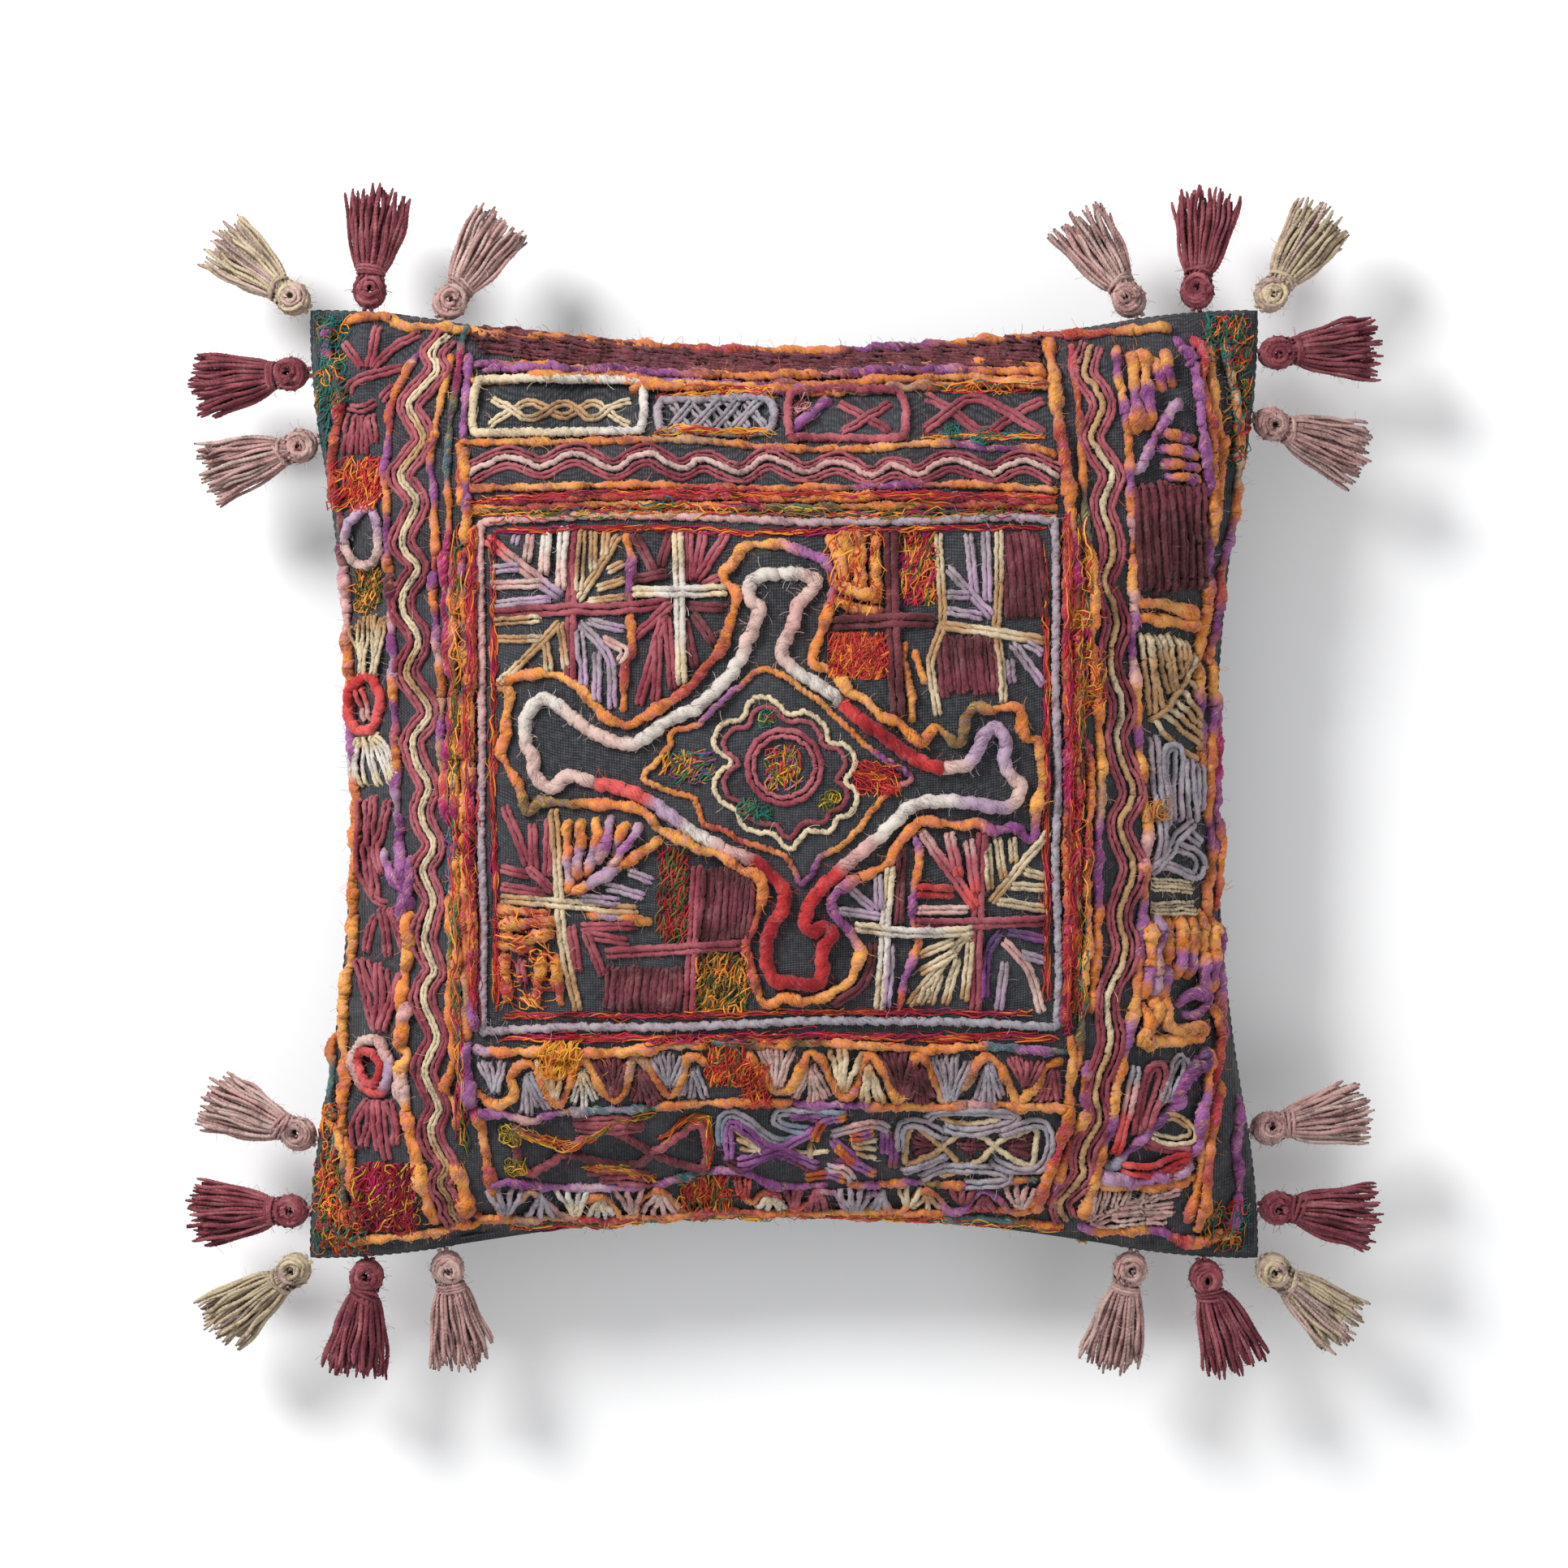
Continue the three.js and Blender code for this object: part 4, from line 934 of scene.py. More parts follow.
lay(slub, "orange amber orange tan orange amber", 4.5, [(-70, 183), (-20, 182), (30, 182), (64, 184),
        (100, 185), (124, 183)])
lay(slub, "violet purple orange purple orange", 4.5, [(-140, 192), (-100, 191), (-50, 189), (0, 188),
        (60, 191), (120, 190)])
lay(slub, "orange amber orange purple violet orange amber orange", 5.0,
    [(-148, 154), (-146, 130), (-147, 112)])
lay(slub, "orange purple orange rust orange", 4.5, [(-73, 115), (-71, 107), (-70, 102), (-71, 92),
        (-71, 81), (-70, 62), (-73, 56), (-74, 34)])
lay(slub, "orange amber", 4.1, [(56, 65), (55, 58), (58, 42), (59, 29)], [(60, 61), (65, 46)])
lay(slub, "violet orange purple orange violet rust", 4.1, [(59, -23), (62, -33), (60, -48), (59, -62),
        (62, -72), (59, -81), (55, -91), (53, -103)])
lay(slub, "purple violet purple", 6.0, [(3, 163), (8, 168), (14, 173), (20, 178)])
# slub blocks in the quarters
lay(slub, "orange amber orange", 5.8, [(21, 115), (25, 103), (28, 91)], [(27, 116), (29, 106), (31, 97)],
    [(36, 116), (35, 102), (34, 87)], [(43, 116), (42, 100), (42, 85)], [(24, 84), (34, 80), (45, 79)],
    [(32, 117), (33, 108), (32, 99)], [(23, 92), (31, 88), (43, 85)])
lay(slub, "amber orange lilac orange", 5.6, [(-100, -18), (-99, -34), (-98, -50)],
    [(-87, -16), (-86, -25), (-91, -42)], [(-73, -18), (-79, -34)], [(-57, -26), (-76, -38), (-97, -50)],
    [(-94, -17), (-93, -28), (-95, -42)])
lay(slub, "lilac violet pink", 5.0, [(-80, -15), (-81, -24), (-86, -36)],
    [(-66, -19), (-72, -28), (-80, -38)])
lay(slub, "orange amber rust orange", 5.8, [(-132, -58), (-120, -59), (-109, -60)],
    [(-132, -65), (-118, -64), (-106, -63)], [(-132, -74), (-115, -76)],
    [(-129, -80), (-128, -90), (-127, -101)], [(-111, -78), (-113, -90), (-115, -102)],
    [(-105, -80), (-104, -91), (-103, -102)], [(-108, -68), (-118, -72), (-130, -70)])
lay(slub, "crimson red crimson", 5.4, [(-121, -82), (-120, -91)])
lay(slub, "amber orange lilac orange", 5.0, [(-61, -64), (-75, -61), (-90, -60)])
# bottom band
ZIG = [(-142, -142), (-136, -147), (-130, -148), (-125, -143), (-126, -134), (-119, -129), (-114, -132),
       (-110, -142), (-104, -147), (-99, -138), (-95, -127), (-89, -131), (-84, -141), (-78, -146),
       (-73, -140), (-71, -129), (-67, -126), (-62, -131), (-57, -140), (-53, -144), (-49, -138),
       (-46, -128), (-41, -125), (-35, -130)]
lay(slub, "orange amber orange orange orange amber orange tan orange amber orange", 5.0, ZIG,
    [(-17, -124), (-12, -131), (-8, -138), (-3, -142), (4, -138), (8, -130), (12, -123), (18, -128),
     (23, -138), (28, -144), (33, -140), (36, -130), (39, -125), (44, -129), (48, -138), (52, -145),
     (57, -140), (59, -130), (62, -124), (67, -130), (71, -139), (76, -146), (84, -138), (89, -129),
     (94, -125), (100, -131), (104, -139), (109, -146), (116, -139), (121, -131), (128, -128)])
lay(slub, "lilac orange amber orange orange orange amber orange tan orange", 5.3, [(-142, -123), (-130, -124),
    (-100, -123), (-80, -124), (-68, -122), (-50, -120), (-36, -120)])
lay(slub, "teal green orange olive orange amber orange orange orange teal purple teal", 4.4,
    [(-34, -119), (-12, -120), (8, -119), (30, -120), (50, -121), (70, -122), (92, -121), (105, -122),
     (130, -124)])
lay(slub, "purple violet pink violet grey teal blue_grey teal orange amber orange orange orange orange",
    4.4, [(-142, -151), (-128, -153), (-118, -156), (-106, -152), (-90, -151), (-72, -150), (-50, -148),
          (-30, -147), (-8, -147), (4, -147)])
lay(slub, "purple violet purple orange amber orange pink orange amber orange", 4.8,
    [(5, -147), (20, -148), (34, -148), (50, -148), (62, -149), (80, -148), (100, -148), (131, -150)])
lay(slub, "violet purple violet lilac violet purple teal violet purple violet purple", 4.4,
    [(-137, -184), (-125, -185), (-110, -187), (-90, -187), (-75, -187), (-60, -186), (-50, -183),
     (-40, -180), (-28, -179), (-15, -181), (-8, -185), (4, -187), (20, -186)])
lay(slub, "orange violet orange purple olive orange purple teal orange teal", 4.2,
    [(30, -186), (45, -186), (58, -185), (75, -186), (90, -186), (102, -184), (118, -183)])
LOW_ZIG = [(-137, -190), (-131, -199), (-124, -193), (-118, -189), (-110, -196), (-98, -200), (-92, -193),
           (-86, -190), (-80, -196), (-74, -200), (-66, -193), (-59, -188), (-52, -194), (-46, -198)]
lay(slub, "orange tan pink orange amber orange tan", 3.5, LOW_ZIG)
lay(slub, "orange red lilac orange violet orange", 3.5, [(-22, -184), (-16, -194), (-7, -188), (2, -197),
        (12, -194), (18, -188), (26, -192), (32, -198), (42, -190), (50, -198), (56, -197), (66, -188),
        (76, -196), (84, -197), (94, -188), (104, -196), (110, -197), (118, -190)])


# ----------------------------------------------------------------------------------------------------------
# Rose wool. Leaves, crosses and the outer rows of the wavy lines, in two shades of madder.
# ----------------------------------------------------------------------------------------------------------
def beside(route, gap):
    """A route that runs beside another, at a distance to its left."""
    p = np.array(route, float)
    along = np.gradient(p, axis=0)
    along /= np.linalg.norm(along, axis=1, keepdims=True)
    return [tuple(q) for q in p + gap * np.stack([-along[:, 1], along[:, 0]], 1)]


WAVE_LEFT = [(-157, 209), (-164, 200), (-161, 193), (-167, 185), (-174, 176), (-170, 167), (-167, 160),
             (-173, 151), (-178, 143), (-173, 136), (-170, 130), (-174, 121), (-177, 112), (-172, 105),
             (-169, 100), (-174, 93), (-177, 86), (-176, 79), (-172, 73), (-169, 68), (-170, 63),
             (-174, 56), (-175, 51), (-170, 44), (-166, 38), (-164, 33), (-166, 29), (-171, 23), (-172, 17),
             (-170, 10), (-167, 4), (-164, -1), (-166, -6), (-168, -12), (-167, -18), (-163, -25),
             (-162, -30), (-166, -37), (-167, -42), (-165, -47), (-162, -54), (-164, -62), (-166, -70),
             (-165, -77), (-162, -84), (-162, -88), (-166, -94), (-167, -99), (-165, -106), (-161, -114),
             (-161, -120), (-165, -128), (-166, -135), (-163, -142), (-160, -149), (-161, -153),
             (-164, -159), (-163, -165), (-160, -172), (-156, -177), (-160, -184), (-159, -188),
             (-155, -193), (-156, -197), (-151, -204)]
WAVE_TOP = [(-146, 143), (-137, 148), (-128, 151), (-120, 149), (-112, 146), (-102, 151), (-95, 152),
            (-88, 149), (-78, 145), (-70, 150), (-62, 152), (-55, 148), (-47, 145), (-40, 149), (-35, 149),
            (-29, 146), (-20, 143), (-11, 149), (-5, 150), (1, 147), (10, 143), (19, 147), (26, 148),
            (33, 145), (41, 141), (49, 146), (55, 145), (62, 142), (69, 146), (76, 149), (83, 148),
            (90, 145), (97, 143), (104, 147), (111, 149), (118, 147), (126, 142)]
WAVE_RIGHT = [(144, 205), (140, 191), (145, 183), (148, 175), (145, 167), (142, 160), (147, 151),
              (152, 143), (149, 135), (147, 127), (150, 119), (152, 110), (151, 103), (147, 95), (148, 90),
              (151, 84), (153, 78), (153, 71), (151, 65), (150, 56), (152, 48), (155, 41), (156, 35),
              (155, 29), (153, 23), (154, 17), (156, 10), (159, 2), (161, -5), (158, -12), (155, -17),
              (155, -22), (158, -30), (161, -37), (160, -44), (157, -52), (155, -58), (155, -65),
              (157, -72), (157, -79), (154, -87), (150, -95), (149, -103), (150, -110), (151, -118),
              (149, -127), (145, -136), (144, -146), (146, -153), (143, -160), (139, -167), (138, -174),
              (139, -180), (135, -186), (130, -191), (129, -196), (132, -203)]
for wave, gap, width in ((WAVE_LEFT, 4.1, 3.9), (WAVE_TOP, 3.7, 3.4), (WAVE_RIGHT, 4.2, 4.0)):
    for way in (-1, 1):
        lay(rose, "rose rose deep_rose rose rose deep_rose rose", width, beside(wave, gap * way))
lay(rose, "rose deep_rose", 4.4, [(-206, 207), (-201, 200), (-197, 194)],
    [(-190, 214), (-192, 203), (-194, 194)], [(-170, 210), (-182, 204), (-192, 193)],
    [(-203, 182), (-200, 188), (-190, 191), (-177, 194)], [(-188, 178), (-180, 184)],
    [(-203, 176), (-196, 175), (-189, 178)], [(-202, 172), (-204, 154)], [(-199, 172), (-200, 153)],
    [(-195, 172), (-195, 153)], [(-192, 172), (-190, 158)])
lay(rose, "rose deep_rose rose", 4.6, [(-196, -7), (-196, -25), (-196, -40), (-191, -52), (-185, -56)],
    [(-191, -5), (-192, -25), (-191, -40), (-189, -53)], [(-184, -7), (-187, -22), (-189, -31),
        (-186, -42)], [(-190, -61), (-193, -70), (-195, -79)], [(-187, -57), (-185, -68), (-184, -81)],
    [(-183, -57), (-179, -68), (-176, -77)], [(-198, -82), (-194, -100), (-190, -115)],
    [(-195, -82), (-190, -97)], [(-189, -83), (-188, -100), (-189, -116)],
    [(-186, -86), (-184, -101), (-187, -115)], [(-178, -88), (-182, -103), (-186, -115)],
    [(-193, -147), (-199, -157), (-198, -169)], [(-192, -148), (-193, -160), (-196, -169)],
    [(-189, -147), (-189, -160), (-188, -171)], [(-187, -147), (-186, -162), (-184, -175)],
    [(-184, -147), (-180, -158), (-181, -168)])
lay(rose, "red coral red", 5.7, [(-198, 47), (-201, 40), (-200, 30), (-195, 25), (-190, 28), (-187, 38),
                                 (-189, 46), (-193, 50)], closed=True)
lay(rose, "coral pink", 4.8, [(-197, 45), (-194, 30)])
lay(rose, "pale_pink pink coral lilac pink pale_pink", 6.2,
    [(-196, -121), (-199, -130), (-196, -140), (-189, -144), (-183, -140), (-180, -131), (-184, -122),
     (-190, -119)], closed=True)
lay(rose, "red coral red coral", 4.8, [(-194, -124), (-196, -130), (-193, -138), (-188, -140), (-185, -132),
    (-189, -125)], closed=True)
lay(rose, "lilac pale_pink lilac", 5.1, [(-194, 128), (-201, 122), (-202, 112), (-198, 104), (-192, 103),
                                         (-187, 110), (-187, 120), (-190, 127)], closed=True)
# rectangles of the top band
lay(rose, "rose deep_rose rose deep_rose", 4.4, [(2, 160), (2, 178), (8, 181), (30, 182), (50, 181),
        (56, 177), (56, 164), (52, 159), (30, 160), (8, 160)], closed=True)
lay(rose, "rose deep_rose", 4.2, [(25, 177), (38, 170), (50, 163)], [(27, 163), (38, 169), (50, 177)])
lay(rose, "rose deep_rose rose", 4.8, [(66, 180), (78, 173), (88, 165), (95, 163), (103, 168), (112, 174),
                                       (121, 178)], [(65, 164), (75, 171), (84, 178), (91, 179), (98, 176),
        (106, 171), (112, 167), (121, 162)])
# leaves in the four quarters
lay(rose, "deep_rose rose deep_rose", 5.3, [(-98, 118), (-98, 84), (-98, 48)],
    [(-135, 79), (-100, 80), (-70, 81), (-52, 84)], [(-40, -38), (-42, -70), (-44, -105)],
    [(-82, -78), (-50, -76), (-19, -74)], [(91, -23), (89, -62), (88, -105)],
    [(61, -64), (90, -64), (121, -63)])
lay(rose, "coral pink lilac", 5.5, [(-137, 113), (-120, 99), (-103, 86)])
lay(rose, "rose deep_rose", 4.6, [(-44, 117), (-44, 93)], [(-37, 117), (-41, 94)], [(-26, 116), (-40, 94)],
    [(-30, 95), (-38, 91)], [(-52, 83), (-68, 68)], [(-55, 78), (-67, 36)], [(-58, 69), (-59, 38)],
    [(-54, 77), (-51, 44)], [(-129, -10), (-123, -24), (-118, -38)], [(-116, -18), (-115, -42)],
    [(-108, -16), (-109, -43)], [(-131, -39), (-117, -42)], [(-131, -47), (-109, -51)],
    [(-118, -38), (-106, -50)], [(-98, -65), (-95, -87)], [(-94, -66), (-68, -65)],
    [(-92, -69), (-72, -73)], [(-91, -68), (-83, -89)], [(-121, -82), (-120, -92)])
lay(rose, "pink rose coral", 5.1, [(63, -22), (76, -40), (88, -57)], [(76, -23), (80, -43)],
    [(85, -26), (88, -50)])
lay(rose, "red coral", 6.2, [(61, -49), (77, -50)])
lay(rose, "deep_rose rose", 5.5, [(163, -162), (165, -145), (168, -134), (172, -130), (175, -133),
                                  (173, -143), (167, -160)], [(167, -166), (178, -169), (189, -170)])
lay(rose, "coral red crimson red", 5.9, [(156, -177), (170, -178), (180, -174), (188, -172)], [(176, -180),
    (187, -177)])
lay(rose, "grey pink coral red", 5.1, [(162, -131), (160, -145), (157, -156), (155, -165), (153, -171)])
stitched("rose_wool_stitching", rose, wool, "rose_wool", sides=6)


# ----------------------------------------------------------------------------------------------------------
# Maroon wool, brushed up until it is nearly velvet: filled leaves, crosses, the fan stitches and the laced
# rows of the bottom band.
# ----------------------------------------------------------------------------------------------------------
def fan(strands, names, width, points, *heads):
    """A few straight stitches that meet at one point."""
    for x, y in heads:
        lay(strands, names, width, [(x, y), ((x + points[0]) / 2, (y + points[1]) / 2), points])


def filled(strands, names, width, x0, x1, y0, y1, lean=0.0, gap=1.0):
    """A patch of stitches side by side. Lean moves their tops along."""
    rng = random.Random(x0 * 7 + y0)
    x = x0
    while x < x1:
        a, b = rng.uniform(-1.5, 1.5), rng.uniform(-1.5, 1.5)
        lay(strands, names, width, [(x, y0 + a), (x + lean / 2 + rng.uniform(-1, 1), (y0 + y1) / 2),
                                    (x + lean, y1 + b)])
        x += width * gap


rng = random.Random(5)
for row in range(5):
    x = -147 + rng.uniform(0, 8)
    while x < 116:
        run, edge = rng.uniform(13, 22), (HALF - float(side_bow(x / 1000))) * 1000
        y = edge - 12.6 + row * 2.4 + rng.uniform(-0.4, 0.4)
        lay(maroon, "maroon plum maroon", 3.4, [(x, y + 1.1), (x + run / 2, y + rng.uniform(-0.4, 0.4)),
                                                (min(x + run, 120), y - 1.1)])
        x += run * 0.82
lay(maroon, "maroon plum maroon", 4.6, [(-69, 115), (-63, 104), (-58, 94)], [(-52, 117), (-57, 100)],
    [(-70, 94), (-53, 97)], [(-46, 82), (-27, 81)], [(-46, 77), (-41, 54)], [(-42, 79), (-32, 64)])
lay(maroon, "maroon plum maroon", 6.4, [(49, 117), (50, 75), (52, 32)], [(23, 74), (46, 75), (69, 75)])
filled(maroon, "maroon plum", 4.6, 104, 122, 76, 117, -4.0, 0.85)
filled(maroon, "plum maroon", 4.6, 74, 99, 41, 69, -3.0, 0.85)
lay(maroon, "maroon plum", 4.4, [(54, -30), (53, -65)], [(41, -73), (37, -91), (22, -102)])
filled(maroon, "maroon plum maroon", 4.6, -39, -15, -72, -38, 3.0, 0.9)
filled(maroon, "maroon plum maroon", 4.6, -82, -48, -105, -84, 2.0, 0.85)
filled(maroon, "maroon maroon plum", 5.1, 165, 195, 90, 139, -2.0, 0.8)
for apex, heads in (((-78, -144), ((-87, -127), (-82, -126), (-77, -126), (-73, -128))),
                    ((-66, -132), ((-70, -147), (-65, -147), (-61, -149), (-58, -146))),
                    ((54, -143), ((45, -124), (50, -123), (55, -123), (60, -126))),
                    ((62, -130), ((56, -145), (61, -148), (66, -148), (70, -145)))):
    fan(maroon, "plum maroon plum", 4.0, apex, *heads)
LACE_A = [(-125, -160), (-116, -163), (-105, -168), (-95, -172), (-80, -176), (-68, -176), (-60, -170),
          (-50, -163), (-41, -157), (-37, -161), (-36, -175), (-44, -177), (-56, -173), (-67, -167),
          (-76, -162), (-84, -159), (-93, -164), (-101, -170), (-110, -176), (-118, -180), (-124, -177),
          (-124, -168)]
lay(maroon, "plum maroon rose plum rose plum", 4.6, LACE_A, closed=True)
lay(maroon, "plum rose plum", 4.6, [(-98, -156), (-80, -155), (-64, -156)],
    [(-97, -159), (-80, -159), (-65, -159)], [(-92, -180), (-76, -179), (-62, -182)],
    [(-86, -183), (-74, -183), (-62, -185)])
lay(maroon, "plum maroon", 3.7, [(60, -162), (72, -167)], [(59, -167), (71, -168)],
    [(60, -172), (71, -169)], [(87, -162), (86, -174)], [(80, -167), (95, -168)],
    [(103, -167), (116, -163)], [(103, -168), (117, -168)], [(104, -169), (115, -173)])
lay(maroon, "maroon purple plum", 4.4, [(-28, -171), (-22, -177), (-12, -174), (-4, -171), (6, -175),
                                        (16, -180)], [(50, -160), (51, -170), (50, -179)],
    [(22, -175), (30, -176)])
fan(maroon, "rose plum", 4.0, (112, -140), (104, -126), (108, -126), (113, -127), (119, -128))
fan(maroon, "rose plum", 4.0, (125, -132), (117, -147), (122, -147), (127, -146))
fan(maroon, "plum rose", 3.3, (6, -197), (0, -188), (4, -187), (9, -187))
fan(maroon, "plum rose", 3.3, (16, -188), (10, -198), (15, -198), (21, -198))
fan(maroon, "rose plum", 3.3, (83, -195), (77, -187), (83, -187), (89, -188))
fan(maroon, "rose plum", 3.3, (95, -190), (89, -197), (94, -197), (99, -197))
stitched("maroon_wool_stitching", maroon, wool, "rose_wool", sides=6, ply=0.22, fibres=90000.0,
         fibre_length=0.0042)


# ----------------------------------------------------------------------------------------------------------
# Cream, tan and dusty pink wool. The middle rows of the wavy lines, the laced rectangle, fans and leaves.
# ----------------------------------------------------------------------------------------------------------
lay(cream, "cream cream tan cream cream cream tan cream cream cream cream cream cream cream tan tan", 3.5,
    WAVE_LEFT)
lay(cream, "tan tan cream tan tan cream tan tan tan cream tan tan tan", 3.3, WAVE_RIGHT)
lay(cream, "pale_pink pale_pink pink pale_pink", 3.1, WAVE_TOP)
lay(cream, "cream white cream", 4.6, [(-144, 165), (-144, 182), (-138, 186), (-105, 186), (-72, 185),
                                      (-66, 181), (-66, 166), (-71, 162), (-105, 162), (-138, 162)],
    closed=True)
lay(cream, "cream tan cream", 3.7, [(-137, 166), (-131, 170), (-126, 173), (-118, 177), (-109, 173),
                                    (-103, 170), (-96, 173), (-89, 177), (-82, 173), (-77, 169),
                                    (-71, 166)], [(-136, 179), (-131, 176), (-126, 173), (-118, 169),
        (-109, 173), (-103, 177), (-96, 173), (-89, 169), (-82, 173), (-77, 176), (-71, 178)])
fan(cream, "tan cream cream", 3.5, (-195, 50), (-200, 74), (-197, 77), (-194, 79))
fan(cream, "tan cream cream", 3.5, (-190, 51), (-191, 79), (-187, 78), (-185, 76))
lay(cream, "cream white cream", 4.0, [(-196, 22), (-200, 12), (-199, 1)],
    [(-195, 22), (-197, 10), (-195, -1)], [(-193, 23), (-192, 10), (-188, -1)],
    [(-191, 23), (-187, 12), (-182, 0)], [(-190, 23), (-184, 16), (-179, 3)])
lay(cream, "cream white cream", 5.3, [(-49, 116), (-48, 80), (-47, 46)], [(-70, 88), (-48, 88), (-27, 89)],
    [(49, -38), (47, -62), (44, -104)], [(33, -66), (60, -68), (87, -67)])
lay(cream, "cream tan cream", 4.0, [(71, 116), (72, 96), (73, 75), (68, 59), (68, 50), (71, 31)], [(99, 117),
    (99, 90), (98, 71), (100, 54), (101, 38)])
lay(cream, "tan cream tan", 4.8, [(72, 73), (95, 70), (121, 66)],
    [(-106, -12), (-104, -40), (-102, -72), (-95, -105)], [(-131, -53), (-102, -55), (-68, -58)])
lay(cream, "tan tan cream", 4.0, [(-76, 115), (-85, 100), (-95, 84)], [(-93, 117), (-94, 88)],
    [(-88, 117), (-88, 98)], [(-82, 117), (-83, 105)], [(-73, 102), (-82, 98)], [(-73, 94), (-87, 90)],
    [(-73, 86), (-91, 84)], [(-134, 75), (-112, 76)], [(-103, 75), (-117, 60), (-131, 46)],
    [(-133, 67), (-112, 67)], [(-110, 66), (-108, 52)], [(-103, 74), (-100, 52)])
lay(cream, "cream cream tan", 4.2, [(122, -22), (108, -39), (95, -55)], [(93, -28), (95, -49)],
    [(98, -25), (101, -44)], [(105, -25), (106, -37)], [(110, -40), (121, -43)], [(104, -47), (122, -48)],
    [(98, -54), (122, -58)], [(86, -67), (71, -85), (57, -102)], [(78, -72), (62, -79)],
    [(79, -77), (62, -87)], [(80, -80), (74, -102)], [(72, -87), (67, -102)], [(66, -93), (62, -102)],
    [(86, -72), (83, -100)])
lay(cream, "cream tan tan", 3.2, [(164, 69), (167, 50), (170, 32)], [(167, 69), (170, 50), (172, 33)],
    [(168, 69), (171, 50), (175, 35)], [(172, 69), (176, 50), (179, 42)], [(174, 69), (178, 52), (180, 43)],
    [(177, 69), (180, 50), (182, 44)], [(181, 68), (184, 50)], [(183, 67), (186, 51)],
    [(186, 66), (186, 53)], [(190, 60), (186, 50), (178, 38), (170, 30)], [(171, 30), (180, 20), (192, 11)],
    [(176, 33), (185, 25), (193, 17)], [(178, 36), (187, 28), (193, 21)], [(181, 39), (188, 32), (193, 25)],
    [(184, 43), (190, 36), (193, 31)], [(187, 48), (191, 43)])
lay(cream, "cream cream", 3.5, [(170, -45), (185, -46), (191, -47)], [(170, -48), (184, -49), (191, -50)],
    [(170, -56), (180, -56), (191, -56)], [(170, -59), (181, -59), (191, -59)])
lay(cream, "tan cream", 4.2, [(175, -154), (182, -155), (188, -159), (190, -162), (186, -165), (178, -165),
    (170, -162)])
fan(cream, "cream tan cream", 3.3, (-106, -145), (-114, -128), (-109, -128), (-102, -129))
fan(cream, "white cream", 3.5, (-93, -132), (-98, -148), (-92, -151), (-87, -147))
fan(cream, "tan cream tan", 3.3, (28, -141), (21, -123), (25, -122), (28, -121), (36, -124))
fan(cream, "tan cream tan", 3.3, (39, -130), (36, -146), (39, -147), (43, -146), (46, -146))
lay(cream, "tan cream tan", 3.3, [(58, -160), (63, -159), (73, -167), (82, -176), (86, -177), (92, -173),
                                  (100, -165), (110, -161), (117, -160), (115, -176), (110, -175),
                                  (100, -169), (92, -163), (86, -161), (80, -163), (72, -169), (60, -175),
                                  (56, -175)], closed=True)
lay(cream, "tan cream", 2.9, [(72, -154), (84, -157), (100, -155)], [(72, -182), (88, -179), (101, -181)],
    [(-24, -158), (-18, -163), (-11, -168)], [(-22, -164), (-11, -168)], [(-21, -169), (-11, -169)],
    [(-2, -169), (12, -171), (21, -170)], [(12, -166), (13, -175)], [(32, -166), (43, -165)],
    [(32, -168), (43, -169)], [(33, -171), (43, -174)])
fan(cream, "white cream", 3.1, (-97, -200), (-106, -189), (-101, -188), (-95, -188), (-91, -188))
fan(cream, "white cream", 3.1, (-86, -191), (-91, -200), (-87, -201), (-83, -201), (-79, -199))
fan(cream, "white cream", 3.3, (-7, -189), (-13, -196), (-8, -197), (-3, -198), (1, -197))
fan(cream, "cream", 2.9, (58, -196), (53, -188), (57, -187), (63, -188))
fan(cream, "cream tan", 2.9, (67, -190), (60, -197), (67, -199), (74, -197))
stitched("cream_wool_stitching", cream, wool, "cream_wool", sides=6, ply=0.3, fibres=50000.0)

lay(pink, "pink pale_pink", 4.4, [(-117, 116), (-119, 103)], [(-136, 92), (-112, 92)], [(-84, 67), (-73, 61),
    (-76, 56)], [(101, -72), (113, -86), (119, -106)], [(61, -58), (85, -58)])
lay(pink, "white pale_pink", 5.5, [(-109, 117), (-111, 97)], [(-101, 118), (-103, 90)])
for apex, heads in (((-3, -139), ((-11, -122), (-7, -121), (-2, -121), (4, -122))),
                    ((13, -130), ((5, -145), (13, -147), (17, -146), (21, -145)))):
    fan(pink, "pink pale_pink pink", 4.0, apex, *heads)
fan(pink, "pink pale_pink", 3.1, (-72, -199), (-79, -189), (-73, -187), (-66, -188))
fan(pink, "pink pale_pink", 3.1, (-59, -188), (-66, -198), (-61, -200), (-56, -201), (-50, -199))
fan(pink, "pink pale_pink", 3.1, (110, -196), (103, -188), (108, -186), (112, -187), (117, -188))
lay(pink, "coral red", 3.7, [(-22, -182), (-20, -193)], [(-17, -182), (-18, -193)])
lay(pink, "pink pale_pink pink", 3.7, [(142, -203), (152, -199), (166, -194), (185, -190)],
    [(143, -201), (146, -189)], [(148, -200), (150, -189)], [(153, -198), (155, -189)],
    [(157, -197), (160, -189)], [(163, -196), (168, -190)], [(170, -194), (178, -190)],
    [(155, -198), (182, -196)], [(152, -200), (182, -200)], [(145, -203), (178, -203)])
stitched("pink_wool_stitching", pink, wool, "pink_wool", sides=6)


